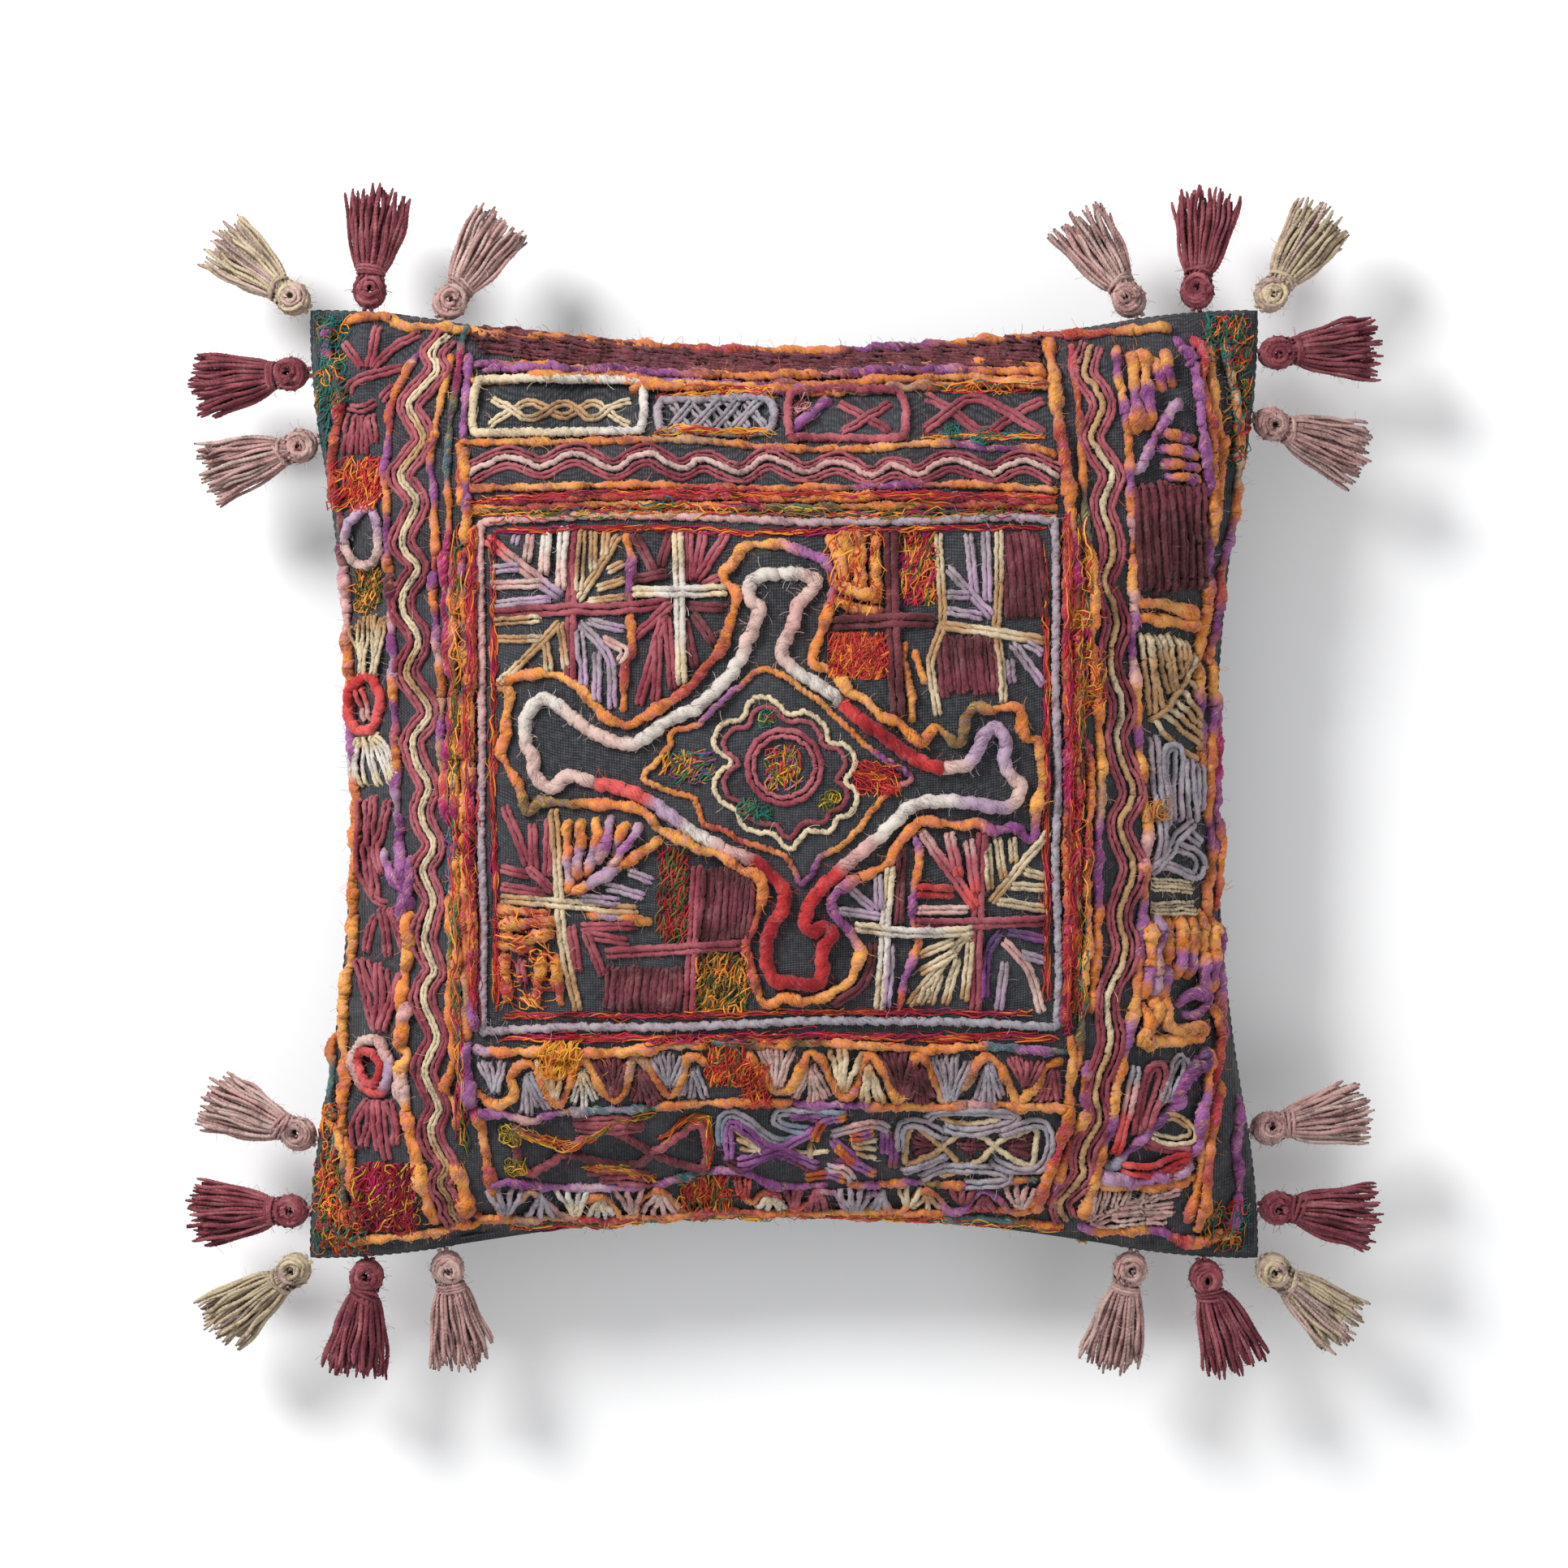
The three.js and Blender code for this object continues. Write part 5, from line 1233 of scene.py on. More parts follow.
# ----------------------------------------------------------------------------------------------------------
# Grey-lilac wool. The lattice of the top band, loops and leaves on the right, and laced rows at the bottom.
# ----------------------------------------------------------------------------------------------------------
lay(lilac_wool, "lilac_grey grey lilac_grey", 4.6, [(-58, 165), (-58, 176), (-52, 178), (-30, 178),
        (-10, 178), (-5, 175), (-5, 166), (-10, 163), (-30, 162), (-52, 163)], closed=True)
lay(lilac_wool, "lilac_grey grey", 4.0, [(-52, 176), (-44, 164)], [(-44, 176), (-34, 164)],
    [(-36, 177), (-25, 164)], [(-27, 177), (-16, 164)], [(-18, 177), (-8, 165)], [(-52, 165), (-42, 177)],
    [(-42, 164), (-31, 177)], [(-33, 164), (-21, 177)], [(-24, 164), (-11, 177)])
lay(lilac_wool, "lilac_grey lilac", 4.4, [(-123, 116), (-125, 110)], [(-136, 99), (-122, 100)],
    [(-135, 83), (-108, 85)], [(-94, 74), (-82, 61), (-78, 50)], [(-91, 75), (-73, 71)],
    [(-94, 71), (-92, 45)], [(-86, 61), (-86, 38)], [(-79, 55), (-79, 35)], [(85, 116), (88, 87)],
    [(93, 117), (94, 84)], [(75, 100), (96, 77)], [(74, 87), (86, 87)], [(74, 80), (92, 77)],
    [(105, 65), (120, 45)], [(111, 65), (120, 60)], [(104, 58), (105, 46)], [(-72, -40), (-60, -45)],
    [(-82, -47), (-64, -52)], [(-94, -52), (-76, -54)], [(24, -58), (45, -61)], [(30, -48), (42, -58)],
    [(43, -42), (44, -58)], [(49, -74), (47, -103)], [(109, -78), (121, -82)], [(102, -82), (99, -105)])
lay(lilac_wool, "aubergine purple", 4.2, [(100, -68), (94, -78), (92, -99)], [(103, -68), (122, -72)])
lay(lilac_wool, "lilac_grey grey lilac_grey", 5.1, [(171, 22), (172, 8), (173, -10), (174, -25),
        (172, -38)], [(176, -20), (178, -8), (176, 6), (176, 15), (181, 18), (183, 10), (182, -4),
                      (183, -17)], [(187, 12), (187, 0), (189, -10), (190, -18)],
    [(192, 10), (192, -2), (192, -12)], [(190, -18), (183, -24), (176, -33), (170, -41)],
    [(180, -29), (190, -32), (193, -38), (190, -43), (180, -39), (173, -38)], [(186, -23), (193, -28)])
lay(lilac_wool, "lilac_grey grey", 4.6, [(174, -148), (179, -135), (183, -127), (186, -129), (183, -139),
                                         (179, -148)])
lay(lilac_wool, "blue_grey grey blue_grey", 4.8, [(-29, -168), (-29, -156), (-25, -152), (-19, -154),
        (-12, -160), (-5, -165), (3, -165), (11, -161)], [(12, -160), (3, -159), (-4, -156), (-3, -152),
        (8, -151), (28, -152)])
lay(lilac_wool, "violet purple violet", 4.6, [(-25, -174), (-25, -158), (-21, -157), (-14, -163),
        (-7, -168), (0, -167), (8, -163), (15, -160)], [(-22, -175), (-12, -172), (-4, -168), (6, -172),
        (16, -177)], [(2, -154), (10, -153), (18, -155)], [(46, -160), (47, -172)],
    [(22, -165), (30, -171), (37, -179), (43, -181)])
lay(lilac_wool, "orange rust violet orange", 4.4, [(14, -166), (17, -158), (22, -154), (29, -154)],
    [(30, -164), (42, -161)], [(24, -167), (31, -174), (42, -181)], [(10, -183), (20, -181), (29, -184)])
lay(lilac_wool, "lilac_grey pink lilac_grey", 4.6, [(22, -162), (32, -159), (42, -157), (49, -160)],
    [(20, -178), (30, -179), (32, -184)])
lay(lilac_wool, "lilac_grey grey lilac_grey grey", 4.8, [(54, -170), (54, -158), (60, -156), (67, -158),
        (76, -163)], [(66, -155), (75, -151), (100, -152), (108, -155), (97, -159), (85, -160), (75, -158)],
    [(55, -180), (64, -177), (76, -172)], [(64, -183), (75, -178), (88, -177), (101, -179), (105, -183),
                                           (85, -185)], [(100, -161), (112, -157), (120, -157), (124, -163),
        (123, -171), (118, -178), (105, -178), (97, -174)])
for apex, heads in (((-133, -143), ((-141, -128), (-137, -129), (-130, -128))),
                    ((-118, -134), ((-121, -152), (-118, -153), (-113, -150), (-109, -150))),
                    ((-53, -139), ((-61, -125), (-57, -124), (-52, -124), (-47, -126))),
                    ((-41, -131), ((-48, -144), (-43, -145), (-36, -145))),
                    ((78, -146), ((69, -126), (74, -125), (79, -125), (85, -128))),
                    ((95, -129), ((89, -146), (93, -147), (96, -148), (101, -145)))):
    fan(lilac_wool, "lilac_grey grey", 4.0, apex, *heads)
for apex, heads in (((-130, -199), ((-138, -189), (-133, -188), (-127, -188), (-122, -189))),
                    ((-115, -190), ((-120, -200), (-115, -202), (-109, -201))),
                    ((33, -198), ((26, -189), (30, -188), (35, -188), (39, -190))),
                    ((46, -189), ((38, -198), (43, -199), (49, -198)))):
    fan(lilac_wool, "lilac_grey grey", 3.3, apex, *heads)
stitched("lilac_wool_stitching", lilac_wool, wool, "lilac_wool", sides=6)


# ----------------------------------------------------------------------------------------------------------
# Sari silk. Carded waste silk in every colour, laid in hanks that catch the light, with loose looping
# threads.
# ----------------------------------------------------------------------------------------------------------
silk_look = wool_material("sari_silk", mottle=0.3, rough=0.45, sheen=0.05, depth=0.0001)


def thread(names, width, points, rise):
    """One thin thread that rides over whatever is under it."""
    rng = random.Random(repr(points[0]) + repr(points[-1]))
    flat = through(points, 0.0022)
    place = []
    lift = np.sin(np.linspace(0, math.pi, len(flat))) ** 0.5
    for (x, y), up in zip(flat, lift):
        ground, slope = on_face(x, y)
        i, j = int(min(515, max(3, x * 1000 + 260))), int(min(515, max(3, y * 1000 + 260)))
        place.append(ground + slope * float(pile[i, j] * 0.9 + 0.0003 + rise * up))
    tint = np.array(COLOURS[rng.choice(names)]) * rng.uniform(0.75, 1.25)
    silk.append((np.array(place), width / 2000 * np.ones(len(flat)), tint, 0.0))


def hank(names, route, width, count, loose=1.0, length=16):
    """Many threads that run more or less along a route."""
    rng = random.Random(repr(route) + names)
    path = np.array(route, float)
    steps = np.concatenate([[0], np.cumsum(np.linalg.norm(np.diff(path, axis=0), axis=1))])
    for _ in range(count):
        run = rng.uniform(0.5, 1.5) * length
        start = rng.uniform(-run / 3, steps[-1] - run * 2 / 3)
        side = rng.gauss(0, width * 0.3)
        points = []
        for k in range(5):
            at = min(max(start + run * k / 4, 0), steps[-1])
            x, y = (np.interp(at, steps, path[:, a]) for a in (0, 1))
            points.append((x + side + rng.gauss(0, loose) + k * 0.01, y + side + rng.gauss(0, loose) + k *
                           0.013))
        thread(names.split(), rng.uniform(0.35, 0.9), points, rng.uniform(0, 0.0014))


def patch(names, x0, x1, y0, y1, count, lean=(0.3, 1.0), loops=0.12):
    """A block filled with threads, a few of them curled into loops."""
    rng = random.Random(repr((x0, y0)) + names)
    for _ in range(int(count * 1.5)):
        x, y = rng.uniform(x0, x1), rng.uniform(y0, y1)
        if rng.random() < loops:
            r, a = rng.uniform(1.2, 3.2), rng.uniform(0, 6.3)
            points = [(x + r * math.cos(a + k * 1.1) * (1 + k * 0.05), y + r * math.sin(a + k * 1.1))
                      for k in range(6)]
        else:
            run, turn = rng.uniform(4, 11), rng.gauss(0, 0.5)
            dx, dy = lean
            dx, dy = dx * math.cos(turn) - dy * math.sin(turn), dx * math.sin(turn) + dy * math.cos(turn)
            points = [(x + dx * run * (k - 1.5) / 3 + rng.gauss(0, 0.6), y + dy * run * (k - 1.5) / 3 +
                       rng.gauss(0, 0.6)) for k in range(4)]
        points = [(min(max(p[0], x0 - 2), x1 + 2), min(max(p[1], y0 - 2), y1 + 2) + 0.01 * k) for k,
                  p in enumerate(points)]
        thread(names.split(), rng.uniform(0.35, 0.95), points, rng.uniform(0, 0.0018))


RED_SIDE = [[(-134, 117), (-60, 118), (-20, 116), (30, 116), (75, 118), (120, 118)],
            [(-134, 114), (-134, 60), (-134, 0), (-133, -60), (-133, -106)],
            [(-130, -107), (-60, -107), (0, -105), (60, -105), (118, -106)],
            [(120, 112), (121, 60), (121, 0), (121, -60), (121, -100)]]
for route in RED_SIDE:
    hank("crimson red crimson rust magenta orange maroon", route, 2.2, 150, 0.7)
OUTER = [[(-146, 132), (-60, 133), (40, 132), (126, 132)], [(-143, 118), (-143, 40), (-142, -40),
        (-142, -112)], [(-130, -117), (-60, -117), (20, -116), (80, -117), (126, -117)],
         [(130, 125), (131, 60), (131, 0), (131, -60), (131, -115)]]
for route in OUTER:
    hank("crimson red crimson red rust magenta maroon orange", route, 2.6, 230, 0.8)
for route in ([(-150, 120), (-150, 60), (-150, 0), (-150, -60), (-150, -120), (-148, -170)],
              [(137, 125), (138, 60), (137, 0), (137, -60), (135, -110)],
              [(-146, 124), (-60, 126), (40, 124), (126, 126)],
              [(-128, -205), (-60, -205), (0, -202), (60, -203), (130, -207)]):
    hank("green olive orange amber rust red teal magenta yellow", route, 3.4, 190, 1.1)
hank("teal green teal magenta purple", [(-152, -22), (-152, -50)], 5, 60, 1.2)
hank("orange red amber crimson", [(-60, 180), (-4, 180)], 2.0, 50, 0.7)
hank("orange red amber crimson yellow", [(-60, 162), (-4, 162)], 2.0, 50, 0.7)
hank("orange red amber crimson teal", [(66, 183), (122, 183)], 2.0, 50, 0.7)
hank("orange red amber teal crimson", [(64, 161), (122, 161)], 2.0, 50, 0.7)
hank("orange yellow rust olive", [(-124, -160), (-98, -168), (-80, -156), (-60, -153)], 2.4, 60, 0.8)
hank("orange yellow rust olive red", [(-58, -165), (-44, -154), (-35, -155), (-34, -176)], 2.4, 60, 0.8)
hank("orange yellow rust olive", [(-92, -177), (-76, -178), (-60, -184)], 2.4, 44, 0.8)
patch("red rust orange crimson red amber", -208, -188, 129, 151, 150)
patch("teal green charcoal teal", -216, -210, 158, 186, 30)
patch("orange olive amber green brown", -199, -188, 81, 99, 80)
patch("crimson crimson crimson maroon yellow magenta", -198, -172, -207, -178, 330, loops=0.2)
patch("orange red rust amber", 20, 46, 79, 116, 60)
patch("magenta red green yellow orange crimson", 55, 69, 84, 115, 150, (0.5, 1.0))
patch("red crimson rust orange red", 22, 46, 50, 68, 330)
patch("green crimson red olive", -57, -45, -72, -31, 130)
patch("green orange olive amber brown", -40, -17, -105, -79, 170)
patch("orange amber rust red", -131, -105, -103, -58, 60, (-0.8, 0.5))
patch("orange amber yellow orange", -112, -95, -134, -120, 110)
patch("crimson red rust orange green", -35, -17, -138, -122, 140, loops=0.3)
patch("crimson red rust orange", -19, -8, -147, -130, 60)
patch("crimson red orange green rust", -48, -25, -196, -184, 130, loops=0.2)
patch("green orange red violet yellow olive", -7, 7, -1, 16, 60, loops=0.2)
patch("green orange teal olive purple", -50, -33, 2, 14, 60, (1.0, 0.5))
patch("red crimson red orange", 33, 52, -4, 9, 80, (1.0, -0.5))
patch("orange amber crimson yellow", -56, -40, 6, 14, 20)
patch("teal red orange green teal", 197, 218, 196, 218, 130, loops=0.4)
patch("teal green orange teal", -219, -204, 176, 219, 90, loops=0.4)
patch("teal green orange red green", 206, 218, 150, 200, 80, loops=0.3)
patch("green orange red teal", -219, -196, -219, -200, 90, loops=0.4)
patch("orange red green orange", -219, -206, -200, -150, 60, loops=0.3)
patch("charcoal teal olive red orange", 197, 216, -217, -196, 60, loops=0.4)
patch("red orange olive amber crimson", -217, -205, -216, -175, 70, loops=0.3)
patch("orange amber olive red", 132, 146, 36, 62, 50, loops=0.4)
patch("crimson red magenta red", 129, 135, -100, 70, 150, (0.1, 1.0))
for x, y, names in ((-7, 30, "teal yellow red teal"), (21, -8, "yellow olive green"),
                    (-10, -14, "teal green"), (-17, -11, "teal olive"), (135, 75, "orange amber"),
                    (172, -12, "orange tan"), (-127, -162, "yellow olive"), (-125, -178, "yellow olive"),
                    (78, 162, "teal green"), (92, 160, "teal green"), (7, 175, "pink rose")):
    patch(names, x - 3, x + 3, y - 3, y + 3, 18, loops=0.7)
stitched("sari_silk_threads", silk, silk_look, "slub_silk", sides=4, ply=0.0, fibres=0.0)
stitched("slub_lines", slub, slub_wool, "slub_silk", sides=7, ply=0.2, fibres=60000.0)


# ----------------------------------------------------------------------------------------------------------
# Tassels. Twenty hand-knotted bunches of two-ply wool, five at each corner. A loop of the bunch is sewn to
# the seam as a fat round knot with a small eye, yarn binds the neck, and the cut ends fan out unevenly.
# ----------------------------------------------------------------------------------------------------------
TASSEL_REACH = 0.061
KNOT_MIDDLE = 0.0100
KNOT_RADIUS = 0.0084
NECK_AT = 0.0188
NECK_RADIUS = 0.0058
FAN_HALF = 0.0170      # half width of the cut ends, seen from above
FAN_DEEP = 0.0085      # and half their height
DROOP = math.radians(12)
tassel_wool = wool_material("tassel_wool", mottle=0.7, depth=0.0007)
DYES = {"cream": ("cream", "cream", "pale_pink"), "rose": ("deep_rose", "deep_rose", "rose"),
        "pink": ("pink", "pink", "pale_pink")}


def tassel(joint):
    """The strands and the binding of one tassel, as two pieces."""
    key = joint["name"].removeprefix("swing_")
    yarn = key.split("_")[-1]
    rng = random.Random(key)
    root, side = np.array(joint["pos_m"]), np.array(joint["axis"])
    level = np.array([-side[1], side[0], 0.0])
    ahead = level * math.cos(DROOP) - np.array([0, 0, math.sin(DROOP)])
    over = np.cross(side, ahead)
    over = over if over[2] > 0 else -over

    def place(t, s, h):
        return root + ahead * t + side * s + over * h

    def dye():
        tint = np.array(COLOURS[rng.choice(DYES[yarn])])
        return tint * rng.uniform(0.82, 1.12)

    strands, wraps = [], []
    bias = rng.uniform(-0.004, 0.004)
    rng.uniform(-0.25, 0.25)     # unused, keeps the later draws in their order
    for k in range(64):
        # a strand leaves the knot, passes the neck and fans out
        angle = k * 2.399963
        share = ((k + 0.5) / 64) ** 0.42
        s, h = share * math.cos(angle), share * math.sin(angle)
        end = TASSEL_REACH - rng.uniform(0.0, 0.006) - 0.003 * abs(s) - rng.choice((0, 0, 0, 0.006))
        out_s, out_h = s * FAN_HALF + bias + rng.gauss(0, 0.0007), h * FAN_DEEP + rng.gauss(0, 0.0005)
        wave, phase = rng.uniform(0.0004, 0.0013), rng.uniform(0, 6.3)
        route = []
        for q in np.linspace(0, 1, 26):
            t = NECK_AT - 0.003 + q * (end - NECK_AT + 0.003)
            open_out = max(0.0, (t - NECK_AT) / (TASSEL_REACH - NECK_AT))
            open_out = open_out ** 0.54
            width = NECK_RADIUS * 0.82
            route.append(place(t, s * width + (out_s - s * width) * open_out + wave *
                               math.sin(phase + q * 9) * q, h * width + (out_h - h * width) * open_out +
                               wave * math.cos(phase * 2 + q * 8) * q))
        radius = np.full(26, rng.uniform(0.00095, 0.00125))
        radius[-3:] *= (1.0, 0.85, 0.55)
        strands.append((np.array(route), radius, dye(), 190.0))
    eye_s, eye_t = rng.uniform(-0.0016, 0.0016), rng.uniform(-0.001, 0.0015)
    for k in range(34):
        # turns of the knot, wound round a small eye that shows from above
        lift = (k + 0.5) / 34 * 2 - 1
        ring = math.sqrt(1 - lift * lift)
        tilt, lean, start = rng.gauss(0, 0.30), rng.uniform(0, 6.3), rng.uniform(0, 6.3)
        squash, big = rng.uniform(0.86, 1.0), (KNOT_RADIUS - 0.0012) * (0.20 + 0.80 *
                ring) * rng.uniform(0.94, 1.0)
        route = []
        for q in np.linspace(0, 1, 26):
            turn = start + q * 5.6
            h = lift * 0.0058 + math.sin(turn + lean) * tilt * big
            pull = 1 - abs(lift)
            route.append(place(KNOT_MIDDLE + big * math.cos(turn) + eye_t * (1 - pull), big *
                               math.sin(turn) * squash + eye_s * (1 - pull), max(-0.0075, min(0.0075, h))))
        strands.append((np.array(route), rng.uniform(0.0011, 0.0014), dye(), 170.0))
    for k in range(14):
        # strands that run from the knot's shoulders into the neck
        turn = k / 14 * math.tau
        route = [place(t, math.cos(turn) * w, math.sin(turn) * w * 0.85) for t, w in
                 ((KNOT_MIDDLE - 0.001, KNOT_RADIUS * 0.88), (KNOT_MIDDLE + 0.003, KNOT_RADIUS * 0.84),
                  (KNOT_MIDDLE + 0.006, KNOT_RADIUS * 0.72), (NECK_AT + 0.001, NECK_RADIUS * 0.8))]
        strands.append((np.array(route), 0.0012, dye(), 170.0))
    for k in (-1, 1):
        route = [place(t, k * 0.0016, 0) for t in np.linspace(0.0006, 0.006, 6)]
        strands.append((np.array(route), 0.0012, dye(), 170.0))
    slant = rng.uniform(-0.0026, 0.0026)
    for k in range(3):
        # binding round the neck, wound at a slant
        route = []
        for q in np.linspace(0, 1, 30):
            turn = q * math.tau * 1.02
            t = NECK_AT - 0.0008 + (k + q) * 0.0013 + slant * math.sin(turn + k * 0.9)
            route.append(place(t, (NECK_RADIUS + 0.0003) * math.cos(turn), (NECK_RADIUS + 0.0002) *
                               math.sin(turn)))
        wraps.append((np.array(route), 0.0010, dye(), 200.0))
    bundle = swept("strands_" + key, strands, tassel_wool, sides=6, ply=0.6, fibres=26000.0,
                   fibre_length=0.0036)
    neck = swept("wrap_" + key, wraps, tassel_wool, sides=6, ply=0.6, fibres=26000.0, fibre_length=0.003)
    settle(bundle, tassel_wool, "tassel_" + key, yarn + "_wool", "tassel_" + key)
    settle(neck, tassel_wool, "tassel_" + key, yarn + "_wool", "binding_" + key)


for joint in frame["joints"]:
    if joint["name"].startswith("swing_"):
        tassel(joint)


# ----------------------------------------------------------------------------------------------------------
# Zip. A nylon coil zip lies in the opening of the bottom seam: two woven tapes, each with its own spiral of
# teeth, a cast slider with a pull tab, and a stop at each end.
# ----------------------------------------------------------------------------------------------------------
COIL_HALF = 0.145
TOOTH_PITCH = 0.0012
COIL_IN = 0.0031       # from the seam in to the middle of the coil
COIL_RADIUS = 0.00085
ROW_GAP = 0.0007
TAPE_IN = 0.0027
TAPE_WALL = 0.0008
TAPE_LOW, TAPE_HIGH = 0.0027, 0.0067
arc_centre = BOW - HALF - hollow_radius


def on_seam(along, inward, height):
    angle = along / hollow_radius
    reach = hollow_radius + inward
    return np.array([-math.sin(angle) * reach, arc_centre + math.cos(angle) * reach, SEAM_Z + height])


tape_cloth = cloth_material("zip_tape_cloth", (46, 47, 54), (90, 90, 98), 1500.0, 0.00025)
nylon = bpy.data.materials.new("coil_nylon")
nylon.use_nodes = True
n = Nodes(nylon.node_tree)
shader = nylon.node_tree.nodes["Principled BSDF"]
place = n.add("ShaderNodeTexCoord").outputs["Object"]
streak = n.add("ShaderNodeTexNoise", {"Vector": place, "Scale": 700.0, "Detail": 3.0}).outputs["Fac"]
tone = n.mix(streak, (0.012, 0.012, 0.015), (0.045, 0.045, 0.052))
n.tree.links.new(tone, shader.inputs["Base Color"])
n.tree.links.new(n.add("ShaderNodeBump", {"Height": streak, "Distance": 0.0001, "Strength": 0.5}).outputs[0],
                 shader.inputs["Normal"])
shader.inputs["Roughness"].default_value = 0.42

for sign, side in ((1, "front"), (-1, "back")):
    points, faces, rows, columns = [], [], 241, 8
    rib = [(TAPE_LOW, 0), (TAPE_LOW + 0.0003, 0.00018), (0.0045, 0.0), (TAPE_HIGH, 0.0)]
    loop = [(z, TAPE_IN - lift) for z, lift in rib] + [(z, TAPE_IN + TAPE_WALL) for z, _ in reversed(rib)]
    for i in range(rows):
        along = (i / (rows - 1) * 2 - 1) * (ZIP_REACH - 0.0004)
        points += [on_seam(along, inward + 0.00008 * math.sin(i * 1.7), sign * z) for z, inward in loop]
    for i in range(rows - 1):
        for j in range(columns):
            a, b = i * columns + j, i * columns + (j + 1) % columns
            quad = (a, b, b + columns, a + columns)
            faces.append(quad if sign > 0 else quad[::-1])
    caps = [tuple(range(columns)), tuple((rows - 1) * columns + j for j in range(columns))]
    faces += [caps[0][::-1], caps[1]] if sign > 0 else [caps[0], caps[1][::-1]]
    tape = linked("tape_" + side, mesh_of("tape_" + side, points, faces))
    settle(tape, tape_cloth, "pillow", "zip_tape", "zip_tape_" + side)
    turns = int(2 * COIL_HALF / TOOTH_PITCH)
    route = []
    for k in range(turns * 10 + 1):
        turn = k / 10 * math.tau
        along = -COIL_HALF + k / (turns * 10) * 2 * COIL_HALF
        route.append(on_seam(along, COIL_IN - COIL_RADIUS * 0.72 * math.cos(turn),
                             sign * (ROW_GAP + COIL_RADIUS + COIL_RADIUS * 0.72 * math.sin(turn))))
    coil = swept("coil_" + side, [(np.array(route), 0.00022, (0.02, 0.02, 0.025), 0.0)], nylon, sides=6,
                 ply=0.0)
    settle(coil, nylon, "pillow", "zip_coil", "zip_coil_" + side)

# cast metal: antique brass, darker in the hollows and rubbed bright on the edges
brass = bpy.data.materials.new("antique_brass")
brass.use_nodes = True
n = Nodes(brass.node_tree)
shader = brass.node_tree.nodes["Principled BSDF"]
place = n.add("ShaderNodeTexCoord").outputs["Object"]
grain = n.add("ShaderNodeTexNoise", {"Vector": place, "Scale": 900.0, "Detail": 4.0}).outputs["Fac"]
stain = n.add("ShaderNodeTexNoise", {"Vector": place, "Scale": 180.0, "Detail": 3.0}).outputs["Fac"]
edge = n.ramp(n.add("ShaderNodeNewGeometry").outputs["Pointiness"], 0.5, 0.62)
tone = n.mix(n.ramp(stain, 0.35, 0.7), (0.20, 0.14, 0.06), (0.42, 0.31, 0.15))
tone = n.mix(n.math("MULTIPLY", edge, 0.6), tone, (0.72, 0.58, 0.34))
n.tree.links.new(tone, shader.inputs["Base Color"])
n.tree.links.new(n.math("MULTIPLY_ADD", stain, 0.25, 0.24), shader.inputs["Roughness"])
n.tree.links.new(n.add("ShaderNodeBump", {"Height": grain, "Distance": 0.00008, "Strength": 0.4}).outputs[0],
                 shader.inputs["Normal"])
shader.inputs["Metallic"].default_value = 1.0
for name in ("zip_slider", "zip_pull_tab", "zip_top_stop", "zip_bottom_stop"):
    metal = frame["nodes"][name]
    metal.data.materials.clear()
    metal.data.materials.append(brass)


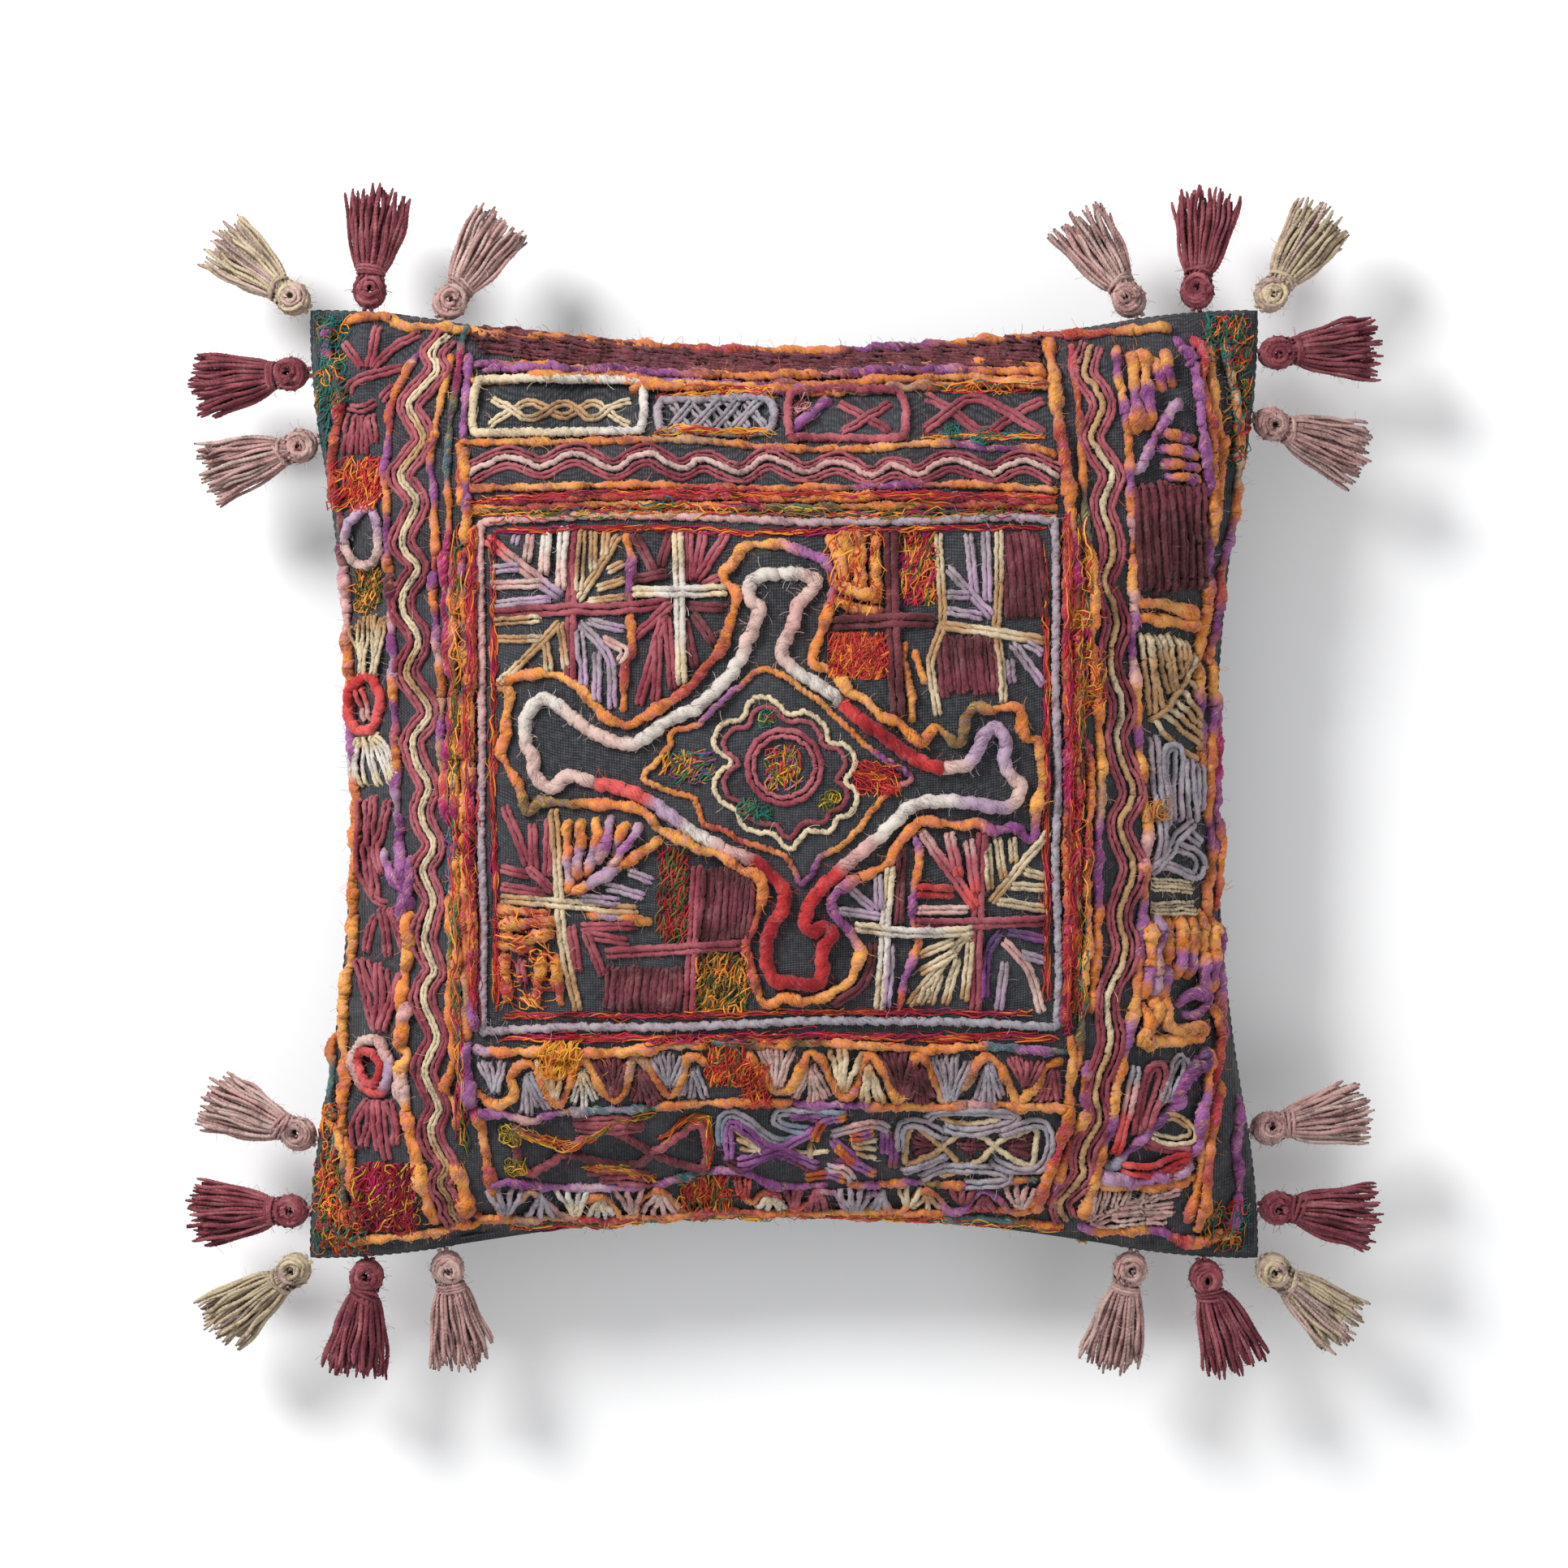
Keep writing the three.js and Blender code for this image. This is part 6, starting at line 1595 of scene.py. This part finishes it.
# ----------------------------------------------------------------------------------------------------------
# Seam. Strong dark thread shows as short slanted stitches round the edge, except where the zip is.
# ----------------------------------------------------------------------------------------------------------
stitches = []
rim = np.arange(CELLS + 1)
full_side = CELLS * (CELLS + 1)
for line in (rim, rim * (CELLS + 1) + CELLS, full_side + rim, rim * (CELLS + 1)):
    path = face_points[line]
    steps = np.concatenate([[0], np.cumsum(np.linalg.norm(np.diff(path, axis=0), axis=1))])
    for at in np.arange(0.004, steps[-1] - 0.004, 0.0042):
        a, b = (np.array([np.interp(at + d, steps, path[:, k]) for k in range(3)]) for d in (-0.0012, 0.0012))
        if a[1] < -0.19 and abs(a[0]) < ZIP_REACH + 0.004:
            continue
        away = np.array([a[0], a[1], 0.0]) / np.hypot(a[0], a[1]) * 0.0001
        stitches.append((np.array([a + away - (0, 0, 0.0011), (a + b) / 2 + away * 2, b + away +
                                   (0, 0, 0.0011)]), 0.0003, COLOURS["charcoal"], 400.0))
seam_thread = swept("seam_thread", stitches, wool, sides=5, ply=0.3)
settle(seam_thread, wool, "pillow", "canvas")


# ----------------------------------------------------------------------------------------------------------
# Setting. A pale floor, soft daylight from the upper left, and a camera that looks straight down.
# ----------------------------------------------------------------------------------------------------------
VIEW_WIDTH = 0.734     # metres across the picture, at the height of the seam
LENS = 200.0

floor_mesh = mesh_of("floor", [(-4, -4, -0.0004), (4, -4, -0.0004), (4, 4, -0.0004), (-4, 4, -0.0004)],
                     [(0, 1, 2, 3)])
floor = linked("floor", floor_mesh)
paper = bpy.data.materials.new("pale_floor")
paper.use_nodes = True
paper.node_tree.nodes["Principled BSDF"].inputs["Base Color"].default_value = (0.93, 0.93, 0.93, 1)
paper.node_tree.nodes["Principled BSDF"].inputs["Roughness"].default_value = 0.9
floor_mesh.materials.append(paper)

world = bpy.data.worlds.new("soft_room")
world.use_nodes = True
world.node_tree.nodes["Background"].inputs["Color"].default_value = (0.97, 0.98, 1.0, 1)
world.node_tree.nodes["Background"].inputs["Strength"].default_value = 0.58
bpy.context.scene.world = world


def soft_light(name, place, size, power):
    light = bpy.data.lights.new(name, "AREA")
    light.shape = "DISK"
    light.size = size
    light.energy = power
    obj = bpy.data.objects.new(name, light)
    obj.location = place
    obj.rotation_euler = (Vector((0, 0, 0.05)) - Vector(place)).to_track_quat("-Z", "Y").to_euler()
    bpy.context.scene.collection.objects.link(obj)


soft_light("key", (-1.3, 1.2, 1.5), 0.9, 56)
soft_light("fill", (1.4, -1.0, 1.8), 1.6, 12)

lens = bpy.data.cameras.new("overhead")
lens.lens = LENS
lens.sensor_width = 36
lens.clip_end = 50
camera = bpy.data.objects.new("overhead", lens)
camera.location = (0, 0, SEAM_Z + VIEW_WIDTH * LENS / 36)
bpy.context.scene.collection.objects.link(camera)
bpy.context.scene.camera = camera
bpy.context.scene.view_settings.view_transform = "Standard"
